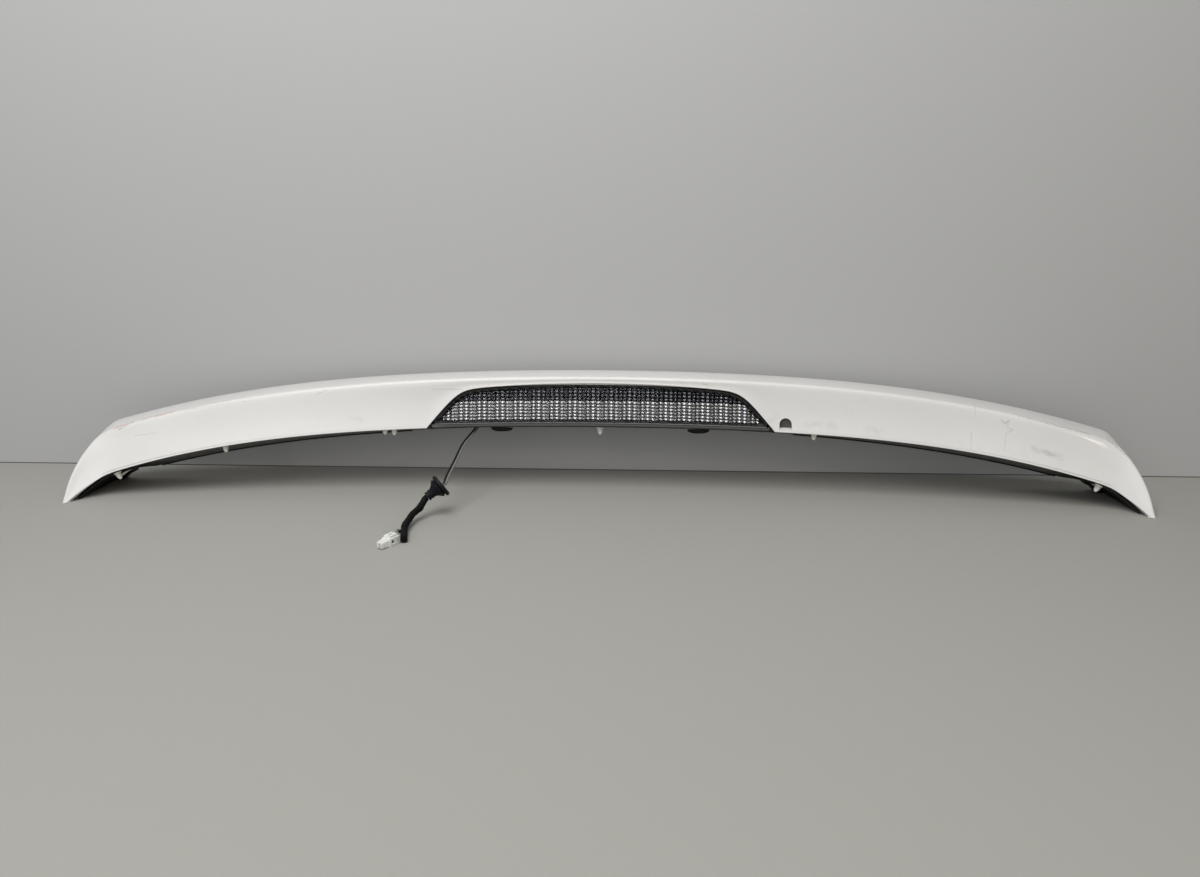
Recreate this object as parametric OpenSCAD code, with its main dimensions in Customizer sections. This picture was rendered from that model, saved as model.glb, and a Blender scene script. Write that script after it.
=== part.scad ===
// Rear spoiler for a car's tailgate, with its high stop lamp, fixings and lamp lead.
// It stands on the floor on its two end walls. X runs across the car, the face that
// following traffic sees looks along -Y, and +Y is towards the front of the car.

/* [Overall shape] */
// Half width at the outer corner of the crease
half_w = 596; // [560:1:640]
// Half width at the outer corner of the front edge
front_half_w = 620; // [585:1:665]
// Half width at the pointed tips
tip_half_w = 626; // [590:1:670]
// Height of the crease above the floor at the middle
crest_h = 139.3; // [130:0.1:160]
// How far the crease falls from the middle to its corner
crest_drop = 65.4; // [50:0.1:75]
// Height of the front edge at the middle
front_h = 137; // [128:0.1:158]
// How far the front edge falls from the middle to its corner
front_drop = 64; // [50:0.1:75]
// Height of the face's lower edge at the middle
low_h = 79.5; // [70:0.1:90]
// How far the lower edge falls from the middle to the start of the end fangs
low_drop = 52; // [40:0.1:60]
// Depth of the top surface at the middle
top_depth = 62; // [50:1:80]
// How far the crease's corner lies behind the crease's middle
crease_sweep = 40.5; // [25:0.5:60]
// How far the front edge's corner lies behind its middle
front_sweep = 45; // [30:1:55]
// How far the tips lie behind the middle of the front edge
tip_reach = 150; // [135:1:170]
// Lean of the face at the middle, as rearward run for each mm down
face_lean = 0.17; // [0.1:0.01:0.25]
// Extra lean of the face at its ends
end_lean = 0.28; // [0.15:0.01:0.4]

/* [Walls and joints] */
// Wall of the painted skin
skin_wall = 2.8; // [2:0.1:3.2]
// Wall of the inner panel
panel_wall = 2.4; // [1.8:0.1:3]
// Radius of the crease between top and face
crease_r = 4; // [2:0.5:5]
// Height of the skin's turned down front flange
flange_h = 10; // [6:1:16]
// Depth of the skin's turned in lip along its lower edge
lip_d = 9; // [6:0.5:12]
// Gap between the skin and the inner panel, taken up by adhesive
bond_gap = 0.3; // [0.2:0.1:0.6]
// Height of the front wall's foot above the floor at the middle
foot_h = 68; // [60:0.5:76]
// How far the front wall's foot falls from the middle to the ends
foot_drop = 61; // [50:0.5:64]
// How far the foot lies behind the front edge at the middle
foot_back = 18; // [10:1:26]
// How far the foot sweeps back from the middle to the ends
foot_sweep = 24; // [14:1:30]

/* [Stop lamp] */
// Half width of the lamp opening at its base
lamp_half_w = 209; // [190:1:225]
// Drop from the crease to the top of the lamp opening
lamp_top_drop = 8.3; // [7.5:0.1:14]
// Gap between the opening and the lamp housing
lamp_gap = 1.5; // [1:0.1:2.5]
// Width of the housing's black border round the lens
rim_w = 3.4; // [2:0.1:5]
// Depth of the lamp housing
lamp_depth = 30; // [24:1:34]
// Wall of the lamp housing
housing_wall = 2.2; // [1.6:0.1:3]
// Thickness of the lens
lens_t = 3; // [2:0.1:4]
// Number of light emitters
emitters = 16; // [8:2:20]

/* [Fixings] */
// Radius of the mounting studs
stud_r = 3; // [2.5:0.5:4]
// Length of the studs beyond their seats
stud_len = 20; // [14:1:26]
// Half spacing of the inner pair of studs
stud_x_inner = 150; // [120:5:180]
// Half spacing of the outer pair of studs
stud_x_outer = 430; // [380:5:470]
// Diameter of the nylon clips at their base
clip_d = 9; // [7:0.5:11]
// Length of the nylon clips below the panel
clip_len = 9; // [7:0.5:12]
// Width of the rubber bumpers
bumper_w = 28; // [20:1:34]
// Half spacing of the rubber bumpers
bumper_x = 119; // [100:1:135]
// Width of the washer jet's hole
jet_w = 14.5; // [10:0.5:16]
// Distance of the washer jet's hole beyond the lamp opening
jet_gap = 12.5; // [10:0.5:24]

/* [Lamp lead] */
// Diameter of each lamp wire
wire_d = 2.2; // [1.6:0.1:3]
// Diameter of the taped loom
loom_d = 7.6; // [6:0.1:9]
// Diameter of the grommet's flange
grommet_d = 27; // [24:1:32]
// Length of the connector
plug_l = 26; // [22:1:32]
// Width of the connector
plug_w = 11; // [9:0.5:14]

/* [Hidden] */

// The studs' seats, in front of the foot of the front wall
stud_seat_y = -6;
stud_end_y = stud_seat_y + stud_len;
// Puts the middle of the whole depth at Y = 0
y0 = (tip_reach - stud_end_y) / 2;

// Shares of the falls that follow the square of the distance from the middle
crest_share = 0.53;
front_share = 0.63;
low_share = 0.27;
foot_share = 0.61;
low_half_w = half_w - 11;
jet_x = lamp_half_w + jet_gap;
// Pitch of the emitters
emitter_pitch = 2 * (lamp_half_w - 33) / emitters;

function bow(t, share) = share * t * t + (1 - share) * pow(t, 4);
function mix(a, b, s) = a + (b - a) * s;
function unit(v) = norm(v) > 1e-9 ? v / norm(v) : [0, 0, 0];
function bezier(a, b, c, s) = (1 - s) * (1 - s) * a + 2 * s * (1 - s) * b + s * s * c;

// Guide curves from the middle, t = 0, to the corner, t = 1
function front_pt(t) = [front_half_w * t, -front_sweep * pow(t, 4),
    front_h - front_drop * bow(t, front_share)];
function crease_pt(t) = [half_w * t, -top_depth - crease_sweep * t * t,
    crest_h - crest_drop * bow(t, crest_share)];
function lean_at(t) = face_lean + end_lean * t * t;
function face_y(x, z) = let (t = abs(x) / half_w, c = crease_pt(t))
    c[1] - lean_at(t) * (c[2] - z);
function low_z(x) = low_h - low_drop * bow(abs(x) / low_half_w, low_share);
function foot_z(x) = foot_h - foot_drop * bow(abs(x) / half_w, foot_share);
function foot_y(x) = -foot_back - foot_sweep * pow(x / half_w, 2);

// Upper edge of the lamp opening, drawn in by inset: two sloping flanks that run
// into a crowned top through soft corners
flank_slope = 1.17;
flank_blend = 8;
opening_crown = 0.00028;
function opening_z(x, inset = 0) = let (
        flank = low_z(lamp_half_w) + (lamp_half_w - abs(x)) * flank_slope
            - inset * sqrt(1 + flank_slope * flank_slope),
        top = crest_h - lamp_top_drop - opening_crown * x * x - inset
    )
    min(flank, top) - flank_blend * ln(1 + exp(-abs(flank - top) / flank_blend));
function edge_z(x) = abs(x) >= lamp_half_w ? low_z(x) : max(low_z(x), opening_z(x));

// Corner and fang of the skin: each guide turns the corner and runs down to the tip
corner_start = 0.975;
corner_end = 0.14;
tip_w = 4.5;
front_foot = [front_half_w + 2, -front_sweep, 0];
tip = [tip_half_w, -tip_reach, 0];
function front_end(w) = mix(front_pt(1), front_foot, w);
function crease_end(w) = bezier(crease_pt(1), [tip_half_w - 1, -tip_reach * 0.85,
    crease_pt(1)[2] * 0.6], tip, w);
function low_start() = [low_half_w, face_y(low_half_w, low_z(low_half_w)), low_z(low_half_w)];
function low_end(w) = bezier(low_start(), [low_half_w + 21, -tip_reach * 0.89,
    low_start()[2] * 0.54], tip + [-tip_w, 1.2, 0], w);

// The stations along half the skin: [kind, value], kind 0 on the main span by
// distance, 1 round the corner and 2 down the end wall
flank_top_x = lamp_half_w - 66;
half_stations = concat(
    [for (x = [0:24:flank_top_x - 20]) [0, x / half_w]],
    [for (i = [0:9]) [0, mix(flank_top_x - 8, lamp_half_w - 4, i / 9) / half_w]],
    [[0, lamp_half_w / half_w], [0, (lamp_half_w + 6) / half_w]],
    [for (i = [1:15]) [0, mix((lamp_half_w + 6) / half_w, corner_start, i / 15)]],
    [for (i = [1:3]) [1, i / 4]],
    [for (i = [0:7]) [2, mix(corner_end, 1, i / 7)]]);

function guide(s, a, b) = s[0] == 1 ? bezier(a[0], a[1], b, s[1]) : b;
function front_at(s) = s[0] == 0 ? front_pt(s[1])
    : s[0] == 1 ? bezier(front_pt(corner_start), front_pt(1), front_end(corner_end), s[1])
    : front_end(s[1]);
function crease_at(s) = s[0] == 0 ? crease_pt(s[1])
    : s[0] == 1 ? bezier(crease_pt(corner_start), crease_pt(1), crease_end(corner_end), s[1])
    : crease_end(s[1]);
function low_main(t) = let (x = t * half_w - (half_w - low_half_w) * pow(t, 4), z = edge_z(x))
    [x, face_y(x, z), z];
function low_at(s) = s[0] == 0 ? low_main(s[1])
    : s[0] == 1 ? bezier(low_main(corner_start), low_start(), low_end(corner_end), s[1])
    : low_end(s[1]);
// 0 on the main span, rising to 1 at the floor
function turn_at(s) = s[0] == 0 ? 0 : s[0] == 1 ? 0.3 * s[1]
    : mix(0.3, 1, (s[1] - corner_end) / (1 - corner_end));

// One section of the skin's outer surface, from its front flange to its lower lip
top_crown = 1.2;
face_bulge = 1.6;
function skin_section(s) = let (
        f = front_at(s), c = crease_at(s), l = low_at(s), k = turn_at(s),
        flange = mix([0, -1.5, -flange_h], [-flange_h / 2, -1.5, 0], min(1, 2 * k)),
        lip = mix([0, lip_d, 2], [-2, lip_d * 0.7, 0], k),
        to_front = unit(f - c), to_low = unit(l - c),
        r = min(crease_r, norm(l - c) * 0.4, norm(f - c) * 0.2),
        a = c + to_front * r, b = c + to_low * r,
        out = unit(cross(to_low, [1, 0, 0])) * -face_bulge * min(1, norm(l - c) / 50),
        up = [0, 0, top_crown] * (1 - k)
    )
    [f + flange, f, mix(f, a, 0.33) + up, mix(f, a, 0.67) + up, a,
        bezier(a, c, b, 0.33), bezier(a, c, b, 0.67), b,
        mix(b, l, 0.3) + out * 0.8, mix(b, l, 0.65) + out, l, l + lip];

function mirrored(g) = [for (i = [len(g) - 1:-1:1]) [for (p = g[i]) [-p[0], p[1], p[2]]]];
function whole(g) = concat(mirrored(g), g);

// Inner side of a wall of the given thickness behind a grid of points. flip turns it
// to the other side, and at both ends it stays in the plane of the floor.
function inner_grid(g, wall, flip = 1) = let (n = len(g), m = len(g[0]))
    [for (i = [0:n - 1]) [for (j = [0:m - 1]) let (
            du = g[min(i + 1, n - 1)][j] - g[max(i - 1, 0)][j],
            va = j > 0 ? g[i][j] - g[i][j - 1] : g[i][1] - g[i][0],
            vb = j < m - 1 ? g[i][j + 1] - g[i][j] : va,
            na = unit(cross(du, va)), nb = unit(cross(du, vb)),
            mid = unit(na + nb),
            off = mid * flip * wall / max(0.6, mid * na),
            flat = (i == 0 || i == n - 1) ? unit([off[0], off[1], 0]) * norm(off) : off
        ) g[i][j] + flat]];

// A closed shell between two grids of points of the same size
module shell(outer, inner) {
    n = len(outer);
    m = len(outer[0]);
    base = n * m;
    points = concat([for (r = outer) for (p = r) p], [for (r = inner) for (p = r) p]);
    skin_faces = [for (i = [0:n - 2]) for (j = [0:m - 2]) let (a = i * m + j, b = a + m)
        for (f = [[a, b, b + 1], [a, b + 1, a + 1]]) f];
    back_faces = [for (f = skin_faces) [f[2] + base, f[1] + base, f[0] + base]];
    side_faces = [for (i = [0:n - 2]) let (a = i * m, b = a + m, c = a + m - 1, d = c + m)
        for (f = [[a, a + base, b + base], [a, b + base, b],
            [c, d, d + base], [c, d + base, c + base]]) f];
    end_faces = [for (j = [0:m - 2]) let (a = j, b = (n - 1) * m + j)
        for (f = [[a, a + 1, a + 1 + base], [a, a + 1 + base, a + base],
            [b, b + base, b + 1 + base], [b, b + 1 + base, b + 1]]) f];
    polyhedron(points, concat(skin_faces, back_faces, side_faces, end_faces));
}

module placed() translate([0, y0, 0]) children();

skin_grid = whole([for (s = half_stations) skin_section(s)]);

// Bosses behind the face take the lamp's two screws
boss_x = lamp_half_w - 9;
boss_z = low_h + 26;
boss_r = 5;
ear_y = -52;
screw_r = 2;

// The washer jet's D-shaped hole: flat below, half round above
jet_z = low_z(jet_x) + 3.4;
module jet_hole() {
    r = jet_w / 2;
    translate([jet_x, -top_depth + 10, jet_z]) rotate([90, 0, 0])
        linear_extrude(40) union() {
            translate([-r, 0]) square([jet_w, r - 1]);
            translate([0, r - 1]) intersection() {
                circle(r, $fn = 64);
                translate([-r, 0]) square([jet_w, r]);
            }
        }
}

module outer_skin() placed() color([0.86, 0.85, 0.81]) difference() {
    union() {
        shell(skin_grid, inner_grid(skin_grid, skin_wall));
        for (side = [-1, 1]) translate([side * boss_x, ear_y, boss_z]) rotate([90, 0, 0])
            cylinder(r = boss_r, h = -face_y(boss_x, boss_z) + ear_y - skin_wall + 1, $fn = 48);
    }
    for (side = [-1, 1]) translate([side * boss_x, ear_y + 1, boss_z]) rotate([90, 0, 0])
        cylinder(r = screw_r - 0.3, h = 13, $fn = 32);
    jet_hole();
}

// The inner panel closes the spoiler from its front flange round to its lower lip
function panel_front(t) = front_pt(t)
    + [-(skin_wall + 3) * t, -skin_wall - bond_gap - 1, -skin_wall - 3];
function panel_foot(x) = [x, foot_y(x), foot_z(x)];
upstand = 3.8;
// Under the lamp the rear edge stands in the face, and beside it behind the skin's lip
function beside_lamp(x) = min(1, max(0, (abs(x) - lamp_half_w + 7) / 3.5));
function panel_rear(x) = [x, face_y(x, low_z(x)), low_z(x)]
    + mix([0, 0.6, 0], [0, lip_d + bond_gap + 0.1, 1.6], beside_lamp(x));
function panel_lip(x) = mix([0, upstand * face_lean, upstand], [0, 0.6, 4], beside_lamp(x));

panel_end_x = half_w - 30;
panel_stations = concat(
    [for (i = [0:8]) [0, mix(0, lamp_half_w - 8, i / 8)]],
    [[0, lamp_half_w - 7], [0, lamp_half_w - 3.5]],
    [for (i = [1:13]) [0, mix(lamp_half_w, panel_end_x, i / 13)]],
    [for (i = [1:8]) [1, i / 8]]);
// The panel's guides inside the fang, w = 0 at the main span and 1 on the floor
fang_turn = 0.375;
inner_foot_x = front_foot[0] - skin_wall - panel_wall - 3;
function fang_front(w) = let (corner = panel_front(1) + [1, 0, 0])
    w < fang_turn ? mix(panel_front(panel_end_x / front_half_w), corner, w / fang_turn)
    : mix(corner, [inner_foot_x + 2.8, -front_sweep + 1.2, 0], (w - fang_turn) / (1 - fang_turn));
function fang_foot(w) = bezier(panel_foot(panel_end_x),
    [inner_foot_x - 1, -front_sweep + 1, 13.5], [inner_foot_x, -front_sweep + 0.5, 0], w);
function fang_rear(w) = bezier(panel_rear(panel_end_x),
    [low_half_w + 17.5, -tip_reach * 0.793, low_start()[2] * 0.6],
    [inner_foot_x + 1, -tip_reach + 14.5, 0], w);
function panel_section(s) = let (
        f = s[0] == 0 ? panel_front(s[1] / front_half_w) : fang_front(s[1]),
        g = s[0] == 0 ? panel_foot(s[1]) : fang_foot(s[1]),
        r = s[0] == 0 ? panel_rear(s[1]) : fang_rear(s[1]),
        k = s[0] == 0 ? 0 : s[1],
        up = mix(s[0] == 0 ? panel_lip(s[1]) : panel_lip(panel_end_x), [2, 0.3, 0], k),
        a = g + unit(f - g) * min(3, norm(f - g) * 0.3), b = g + unit(r - g) * 3
    )
    [f, mix(f, a, 0.5), a, b, mix(b, r, 0.5), r, r + up];
panel_grid = whole([for (s = panel_stations) panel_section(s)]);

stud_pad_r = 15;
stud_xs = [-stud_x_outer, -stud_x_inner, stud_x_inner, stud_x_outer];
function stud_z(x) = (front_pt(abs(x) / front_half_w)[2] + foot_z(x)) / 2 - 4;
module stud_places() for (x = stud_xs)
    translate([x, stud_seat_y, stud_z(x)]) rotate([-90, 0, 0]) children();

// The underside at a distance behind the face, its fall towards the front and its normal
function under_fall(x) = let (r = panel_rear(x), g = panel_foot(x)) (r[2] - g[2]) / (g[1] - r[1]);
function under_pt(x, behind) = let (y = face_y(x, low_z(x)) + behind, r = panel_rear(x))
    [x, y, r[2] - (y - r[1]) * under_fall(x)];
function under_out(x, behind) = unit(cross([0, 1, -under_fall(x)],
    under_pt(x + 1, behind) - under_pt(x - 1, behind)));
seat_gap = 0.25;
// Seats a piece on the underside, its own -Z pointing out of the panel
module on_underside(x, behind) translate(under_pt(x, behind) - [0, 0, seat_gap])
    rotate([-atan(under_fall(x)), 0, 0]) children();

exit_x = -151.5;
exit_y = -57;
exit_z = 73;
exit_r = 7;
module inner_panel() placed() color([0.36, 0.37, 0.37]) difference() {
    union() {
        shell(inner_grid(panel_grid, panel_wall, -1), panel_grid);
        for (x = stud_xs) let (base = foot_y(x) - 4) translate([x, base, stud_z(x)])
            rotate([-90, 0, 0])
                cylinder(r = stud_pad_r, h = stud_seat_y - stud_flange_t - base, $fn = 64);
    }
    stud_places() translate([0, 0, -40]) cylinder(r = stud_r + 0.2, h = 60, $fn = 32);
    translate([exit_x, exit_y, exit_z - 20]) cylinder(r = exit_r, h = 40, $fn = 48);
}

// Black straps under the inner ends of the fangs, which follow the panel's foot
strap_w = 14;
strap_t = 2.4;
function strap_pt(w) = let (p = fang_foot(w)) [p[0] - inner_foot_x + 9, p[2] - 0.05];
module end_bracket(side) placed() color([0.07, 0.07, 0.07])
    translate([side * (inner_foot_x - 9), foot_y(half_w) + 1, 0]) rotate([90, 0, 0])
        linear_extrude(strap_w) scale([side, 1]) polygon([[1.5, 0], [8.9, 0], [8.2, 1.2],
            [6.8, 2.4], [4, 2.4], strap_pt(0.42), strap_pt(0.31), strap_pt(0.31) - [0, strap_t],
            strap_pt(0.4) - [0, strap_t]]);

module left_end_bracket() end_bracket(-1);
module right_end_bracket() end_bracket(1);

// Rubber edging pushed along the foot of the front wall
seal_from = lamp_half_w + 31;
seal_to = panel_end_x - 6;
seal_r = 1.5;
module edge_seal(side) placed() color([0.03, 0.03, 0.03]) {
    rings = [for (i = [0:20]) let (x = mix(seal_from, seal_to, i / 20), g = panel_foot(x))
        [for (a = [0:60:300]) [side * g[0], g[1] - 0.3 + seal_r * cos(a),
            g[2] + 0.3 + seal_r * sin(a)]]];
    tube(rings, side);
}
module left_edge_seal() edge_seal(-1);
module right_edge_seal() edge_seal(1);

// A closed tube through rings of points
module tube(rings, side = 1) {
    n = len(rings);
    m = len(rings[0]);
    walls = [for (i = [0:n - 2]) for (j = [0:m - 1]) let (k = (j + 1) % m,
            a = i * m + j, b = i * m + k, c = a + m, d = b + m)
        for (f = [[a, d, b], [a, c, d]]) f];
    ends = [[for (j = [0:m - 1]) j], [for (j = [m - 1:-1:0]) (n - 1) * m + j]];
    faces = concat(walls, ends);
    polyhedron([for (r = rings) for (p = r) p],
        side > 0 ? faces : [for (f = faces) [for (i = [len(f) - 1:-1:0]) f[i]]]);
}

// A block that fills the lamp opening, drawn in by inset, between two depths behind
// the face. lift raises its lower edge and fine adds stations.
function lamp_reach(inset, lift) = let (rise = lift + inset * 1.1)
    lamp_half_w - (rise + inset * sqrt(1 + flank_slope * flank_slope)) / flank_slope - 2.5;
function lamp_section(x, inset, lift, front, back) = let (
        zb = low_z(x) + lift, zt = max(zb + 0.8, opening_z(x, inset)))
    [[x, face_y(x, zt) + front, zt], [x, face_y(x, zb) + front, zb],
        [x, back, zb], [x, back, zt]];
module lamp_block(inset, lift, front, back, steps = 40) {
    w = lamp_reach(inset, lift);
    tube([for (i = [0:steps]) lamp_section(w * sin(mix(-90, 90, i / steps)), inset, lift,
        front, back)]);
}

lamp_lift = upstand + 0.5;
lamp_back = -top_depth + lamp_depth;
recess = 1;
// The housing is a tray: its cavity is drawn in by the rim and closes at both ends
tray_lift = lamp_lift + 2.6;
tray_floor = lamp_back - housing_wall;
function tray_section(x) = let (
        o = lamp_section(x, lamp_gap, lamp_lift, recess, lamp_back),
        open = abs(x) <= lamp_reach(lamp_gap + rim_w, tray_lift) + 0.01,
        zb = open ? low_z(x) + tray_lift : mix(o[1][2], o[0][2], 0.4),
        zt = open ? max(zb + 0.8, opening_z(x, lamp_gap + rim_w)) : mix(o[1][2], o[0][2], 0.6),
        yb = face_y(x, zb) + recess, yt = face_y(x, zt) + recess
    )
    [[x, yt, zt], [x, open ? tray_floor : yt + 0.1, zt], [x, open ? tray_floor : yb + 0.1, zb],
        [x, yb, zb], o[1], o[2], o[3], o[0]];
module lamp_housing() placed() color([0.05, 0.05, 0.055]) {
    w = lamp_reach(lamp_gap, lamp_lift);
    cavity_w = lamp_reach(lamp_gap + rim_w, tray_lift);
    difference() {
        union() {
            tube([for (x = concat([-w, -w + 2], [-cavity_w - 0.6], [for (i = [0:40])
                cavity_w * sin(mix(-90, 90, i / 40))], [cavity_w + 0.6], [w - 2, w]))
                tray_section(x)]);
            for (side = [-1, 1]) translate([0, ear_y, 0]) rotate([-90, 0, 0]) linear_extrude(3)
                scale([side, -1]) polygon([for (q = [[0, -6], [1, -6], [1, 6], [0, 6]]) let (
                    z = boss_z + q[1], flank = lamp_half_w - (z - low_z(lamp_half_w)) / flank_slope)
                    [q[0] > 0 ? boss_x + 6 : flank - 4.4, z]]);
        }
        for (side = [-1, 1]) translate([side * boss_x, ear_y - 1, boss_z]) rotate([-90, 0, 0])
            cylinder(r = screw_r + 0.3, h = 6, $fn = 32);
    }
}

lens_inset = lamp_gap + rim_w + 0.2;
lens_lift = lamp_lift + 2.8;
// Rows of prisms on the back of the lens
lens_rows = 9;
prism_d = 1.2;
function lens_section(x) = let (zb = low_z(x) + lens_lift,
        zt = max(zb + 0.8, opening_z(x, lens_inset)))
    concat([[x, face_y(x, zt) + recess + 0.4, zt], [x, face_y(x, zb) + recess + 0.4, zb]],
        [for (i = [0:2 * lens_rows]) let (z = mix(zb, zt, i / (2 * lens_rows)))
            [x, face_y(x, z) + recess + lens_t + (i % 2 == 0 ? 0 : -prism_d), z]]);
module lamp_lens() placed() color([0.85, 0.87, 0.88, 0.5]) {
    w = lamp_reach(lens_inset, lens_lift);
    tube([for (i = [0:44]) lens_section(w * sin(mix(-90, 90, i / 44)))]);
}

// Silvered reflector: a comb of hollow cells, one for each emitter
reflector_back = lamp_back - housing_wall - 4;
reflector_d = 16;
module lamp_reflector() placed() color([0.78, 0.79, 0.8]) intersection() {
    lamp_block(lamp_gap + rim_w + 0.4, tray_lift + 0.4, 6, reflector_back);
    linear_extrude(crest_h) difference() {
        translate([-lamp_half_w, reflector_back - reflector_d])
            square([2 * lamp_half_w, reflector_d]);
        for (i = [0:emitters - 1]) translate([(i - (emitters - 1) / 2) * emitter_pitch,
            reflector_back - reflector_d])
            scale([1, 1.25]) circle(emitter_pitch / 2 - 0.6, $fn = 12);
    }
}

board_t = 1.6;
board_h = 14;
function cell_z(x) = (low_z(x) + lamp_lift + opening_z(x, lens_inset)) / 2;
module lamp_board() placed() color([0.1, 0.3, 0.16]) {
    w = emitters * emitter_pitch / 2 - 3;
    translate([-w, lamp_back - housing_wall - 1.8, cell_z(0) - board_h])
        cube([2 * w, board_t, board_h]);
}
module lamp_emitters() placed() color([0.8, 0.2, 0.15])
    for (i = [0:emitters - 1])
        translate([(i - (emitters - 1) / 2) * emitter_pitch, lamp_back - housing_wall - 1.8
            - 0.9, cell_z(0) - board_h / 2]) cube([3.5, 1.8, 3.5], center = true);

// Foam strip between the opening's lip and the housing
gasket_slack = 0.25;
module lamp_gasket() placed() color([0.04, 0.04, 0.04]) {
    w = lamp_half_w - 9;
    tube([for (i = [0:50]) let (x = w * sin(mix(-90, 90, i / 50)),
            zt = opening_z(x, gasket_slack), zb = opening_z(x, lamp_gap - gasket_slack))
        [[x, face_y(x, zt) + 3, zt], [x, face_y(x, zb) + 3, zb],
            [x, face_y(x, zb) + 8, zb], [x, face_y(x, zt) + 8, zt]]]);
}

module lamp_screws() placed() color([0.6, 0.6, 0.6])
    for (side = [-1, 1]) translate([side * boss_x, ear_y + 3, boss_z]) rotate([90, 0, 0]) {
        translate([0, 0, -2.6]) cylinder(r = 4, h = 2.6, $fn = 48);
        cylinder(r = screw_r - 0.35, h = 12, $fn = 32);
    }

stud_flange_t = 2;
stud_flange_r = 9;
stud_root = 22;
washer_t = 3;
washer_r = 12;
// The washer's bore leaves room round the stud for the edge of the tailgate's hole
washer_bore = stud_r + 1.3;
module mounting_studs() placed() color([0.72, 0.7, 0.62]) stud_places() {
    translate([0, 0, -stud_flange_t]) cylinder(r = stud_flange_r, h = stud_flange_t, $fn = 64);
    translate([0, 0, -stud_root]) cylinder(r = stud_r, h = stud_root + stud_len - 1, $fn = 48);
    translate([0, 0, stud_len - 1]) cylinder(r1 = stud_r, r2 = stud_r - 0.8, h = 1, $fn = 48);
}

module stud_washers() placed() color([0.1, 0.1, 0.1]) stud_places() difference() {
    cylinder(r = washer_r, h = washer_t, $fn = 64);
    translate([0, 0, -1]) cylinder(r = washer_bore, h = washer_t + 2, $fn = 48);
}

// Nylon clips under the lower edge. The one at the right quarter is lost.
clip_xs = [-455, -252, 0, 258];
end_clip_w = 0.2;
function fang_under(w) = mix(fang_foot(w), fang_rear(w), 0.92);
clip_flange_t = 1.5;
module clip() {
    cylinder(r = clip_d / 2, h = clip_flange_t, $fn = 48);
    translate([0, 0, clip_flange_t])
        cylinder(r1 = clip_d / 2 - 1, r2 = 1.2, h = clip_len - clip_flange_t, $fn = 48);
}
module retaining_clips() placed() color([0.85, 0.84, 0.76]) {
    for (x = clip_xs) let (p = under_pt(x, 2 * lip_d), n = under_out(x, 2 * lip_d))
        along(p + n * seat_gap, p + n) clip();
    for (side = [-1, 1]) let (
            p = fang_under(end_clip_w),
            n = unit(cross(fang_under(end_clip_w + 0.05) - fang_under(end_clip_w - 0.05),
                fang_rear(end_clip_w) - fang_foot(end_clip_w))),
            a = p + n * 2 * seat_gap, b = p + n
        ) along([side * a[0], a[1], a[2]], [side * b[0], b[1], b[2]]) clip();
}

bumper_h = 7;
module bumper(side) placed() color([0.03, 0.03, 0.03])
    on_underside(side * bumper_x, 8) hull() for (s = [-1, 1]) {
        translate([s * (bumper_w / 2 - 5), 0, -0.8]) cylinder(r = 5, h = 0.5, $fn = 32);
        translate([s * (bumper_w / 2 - 7), 0, -bumper_h]) cylinder(r = 4, h = 1, $fn = 32);
    }
module left_bumper() bumper(-1);
module right_bumper() bumper(1);

// The lamp lead: route points chosen by hand, from the panel's exit to the connector
wire_route = [[-150.5, -49, 77.5], [-151, -54, 75.4], [-152, -60, 73.2], [-154.4, -69, 70.4],
    [-157, -79, 67.6], [-160.8, -92, 63.4], [-163.2, -107, 58], [-164.6, -122, 53],
    [-166.6, -137, 47.6], [-169, -148, 42.2], [-170.3, -158, 37.6], [-170.9, -165, 34.4]];
loom_route = [[-189.4, -177, 21.6], [-190.7, -178.2, 20.3], [-194.6, -188.4, 13.5],
    [-199.1, -199, 10.5], [-201.1, -215, 8], [-201.4, -230.9, 6.4], [-198.5, -246.3, 5],
    [-194.1, -264.8, 4.1]];
// The wires' lower ends, from under the tape to the back of the connector
plug_route_grey = [[-203.4, -246.8, 7.6], [-204.2, -251, 9.4], [-203, -255.8, 8.6],
    [-201, -259.6, 6.2], [-201.8, -261.7, 5.2]];
plug_route_black = [[-203.9, -244.8, 4.8], [-205.4, -249.8, 6.2], [-205.4, -254.2, 6.4],
    [-204.3, -257.8, 5.6], [-205.3, -260, 5]];
wire_gap = 1.5;

function tangent(r, i) = unit(r[min(i + 1, len(r) - 1)] - r[max(i - 1, 0)]);
function ring(c, t, r, n) = let (u = unit(cross(t, [0, 0, 1] + [0.01, 0.02, 0])), v = cross(t, u))
    [for (k = [0:n - 1]) c + r * (cos(360 * k / n) * u + sin(360 * k / n) * v)];
module run(route, d, n = 8) tube([for (i = [0:len(route) - 1])
    ring(route[i], tangent(route, i), d / 2, n)], 1);

module wire_black() placed() color([0.03, 0.03, 0.03]) {
    run([for (p = wire_route) p + [-wire_gap, 0, 0]], wire_d);
    run(plug_route_black, wire_d);
}
module wire_grey() placed() color([0.6, 0.6, 0.58]) {
    run([for (p = wire_route) p + [wire_gap, 0, 0]], wire_d);
    run(plug_route_grey, wire_d);
}
module taped_loom() placed() color([0.04, 0.04, 0.04]) run(loom_route, loom_d, 12);

module along(a, b) {
    d = b - a;
    translate(a) rotate([0, acos(d[2] / norm(d)), atan2(d[1], d[0])]) children();
}
grommet_at = [-173.6, -169.8, 34];
grommet_axis = unit(loom_route[0] - grommet_at);
grommet_l = norm(loom_route[0] - grommet_at) + 1.6 - 1.15;
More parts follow.
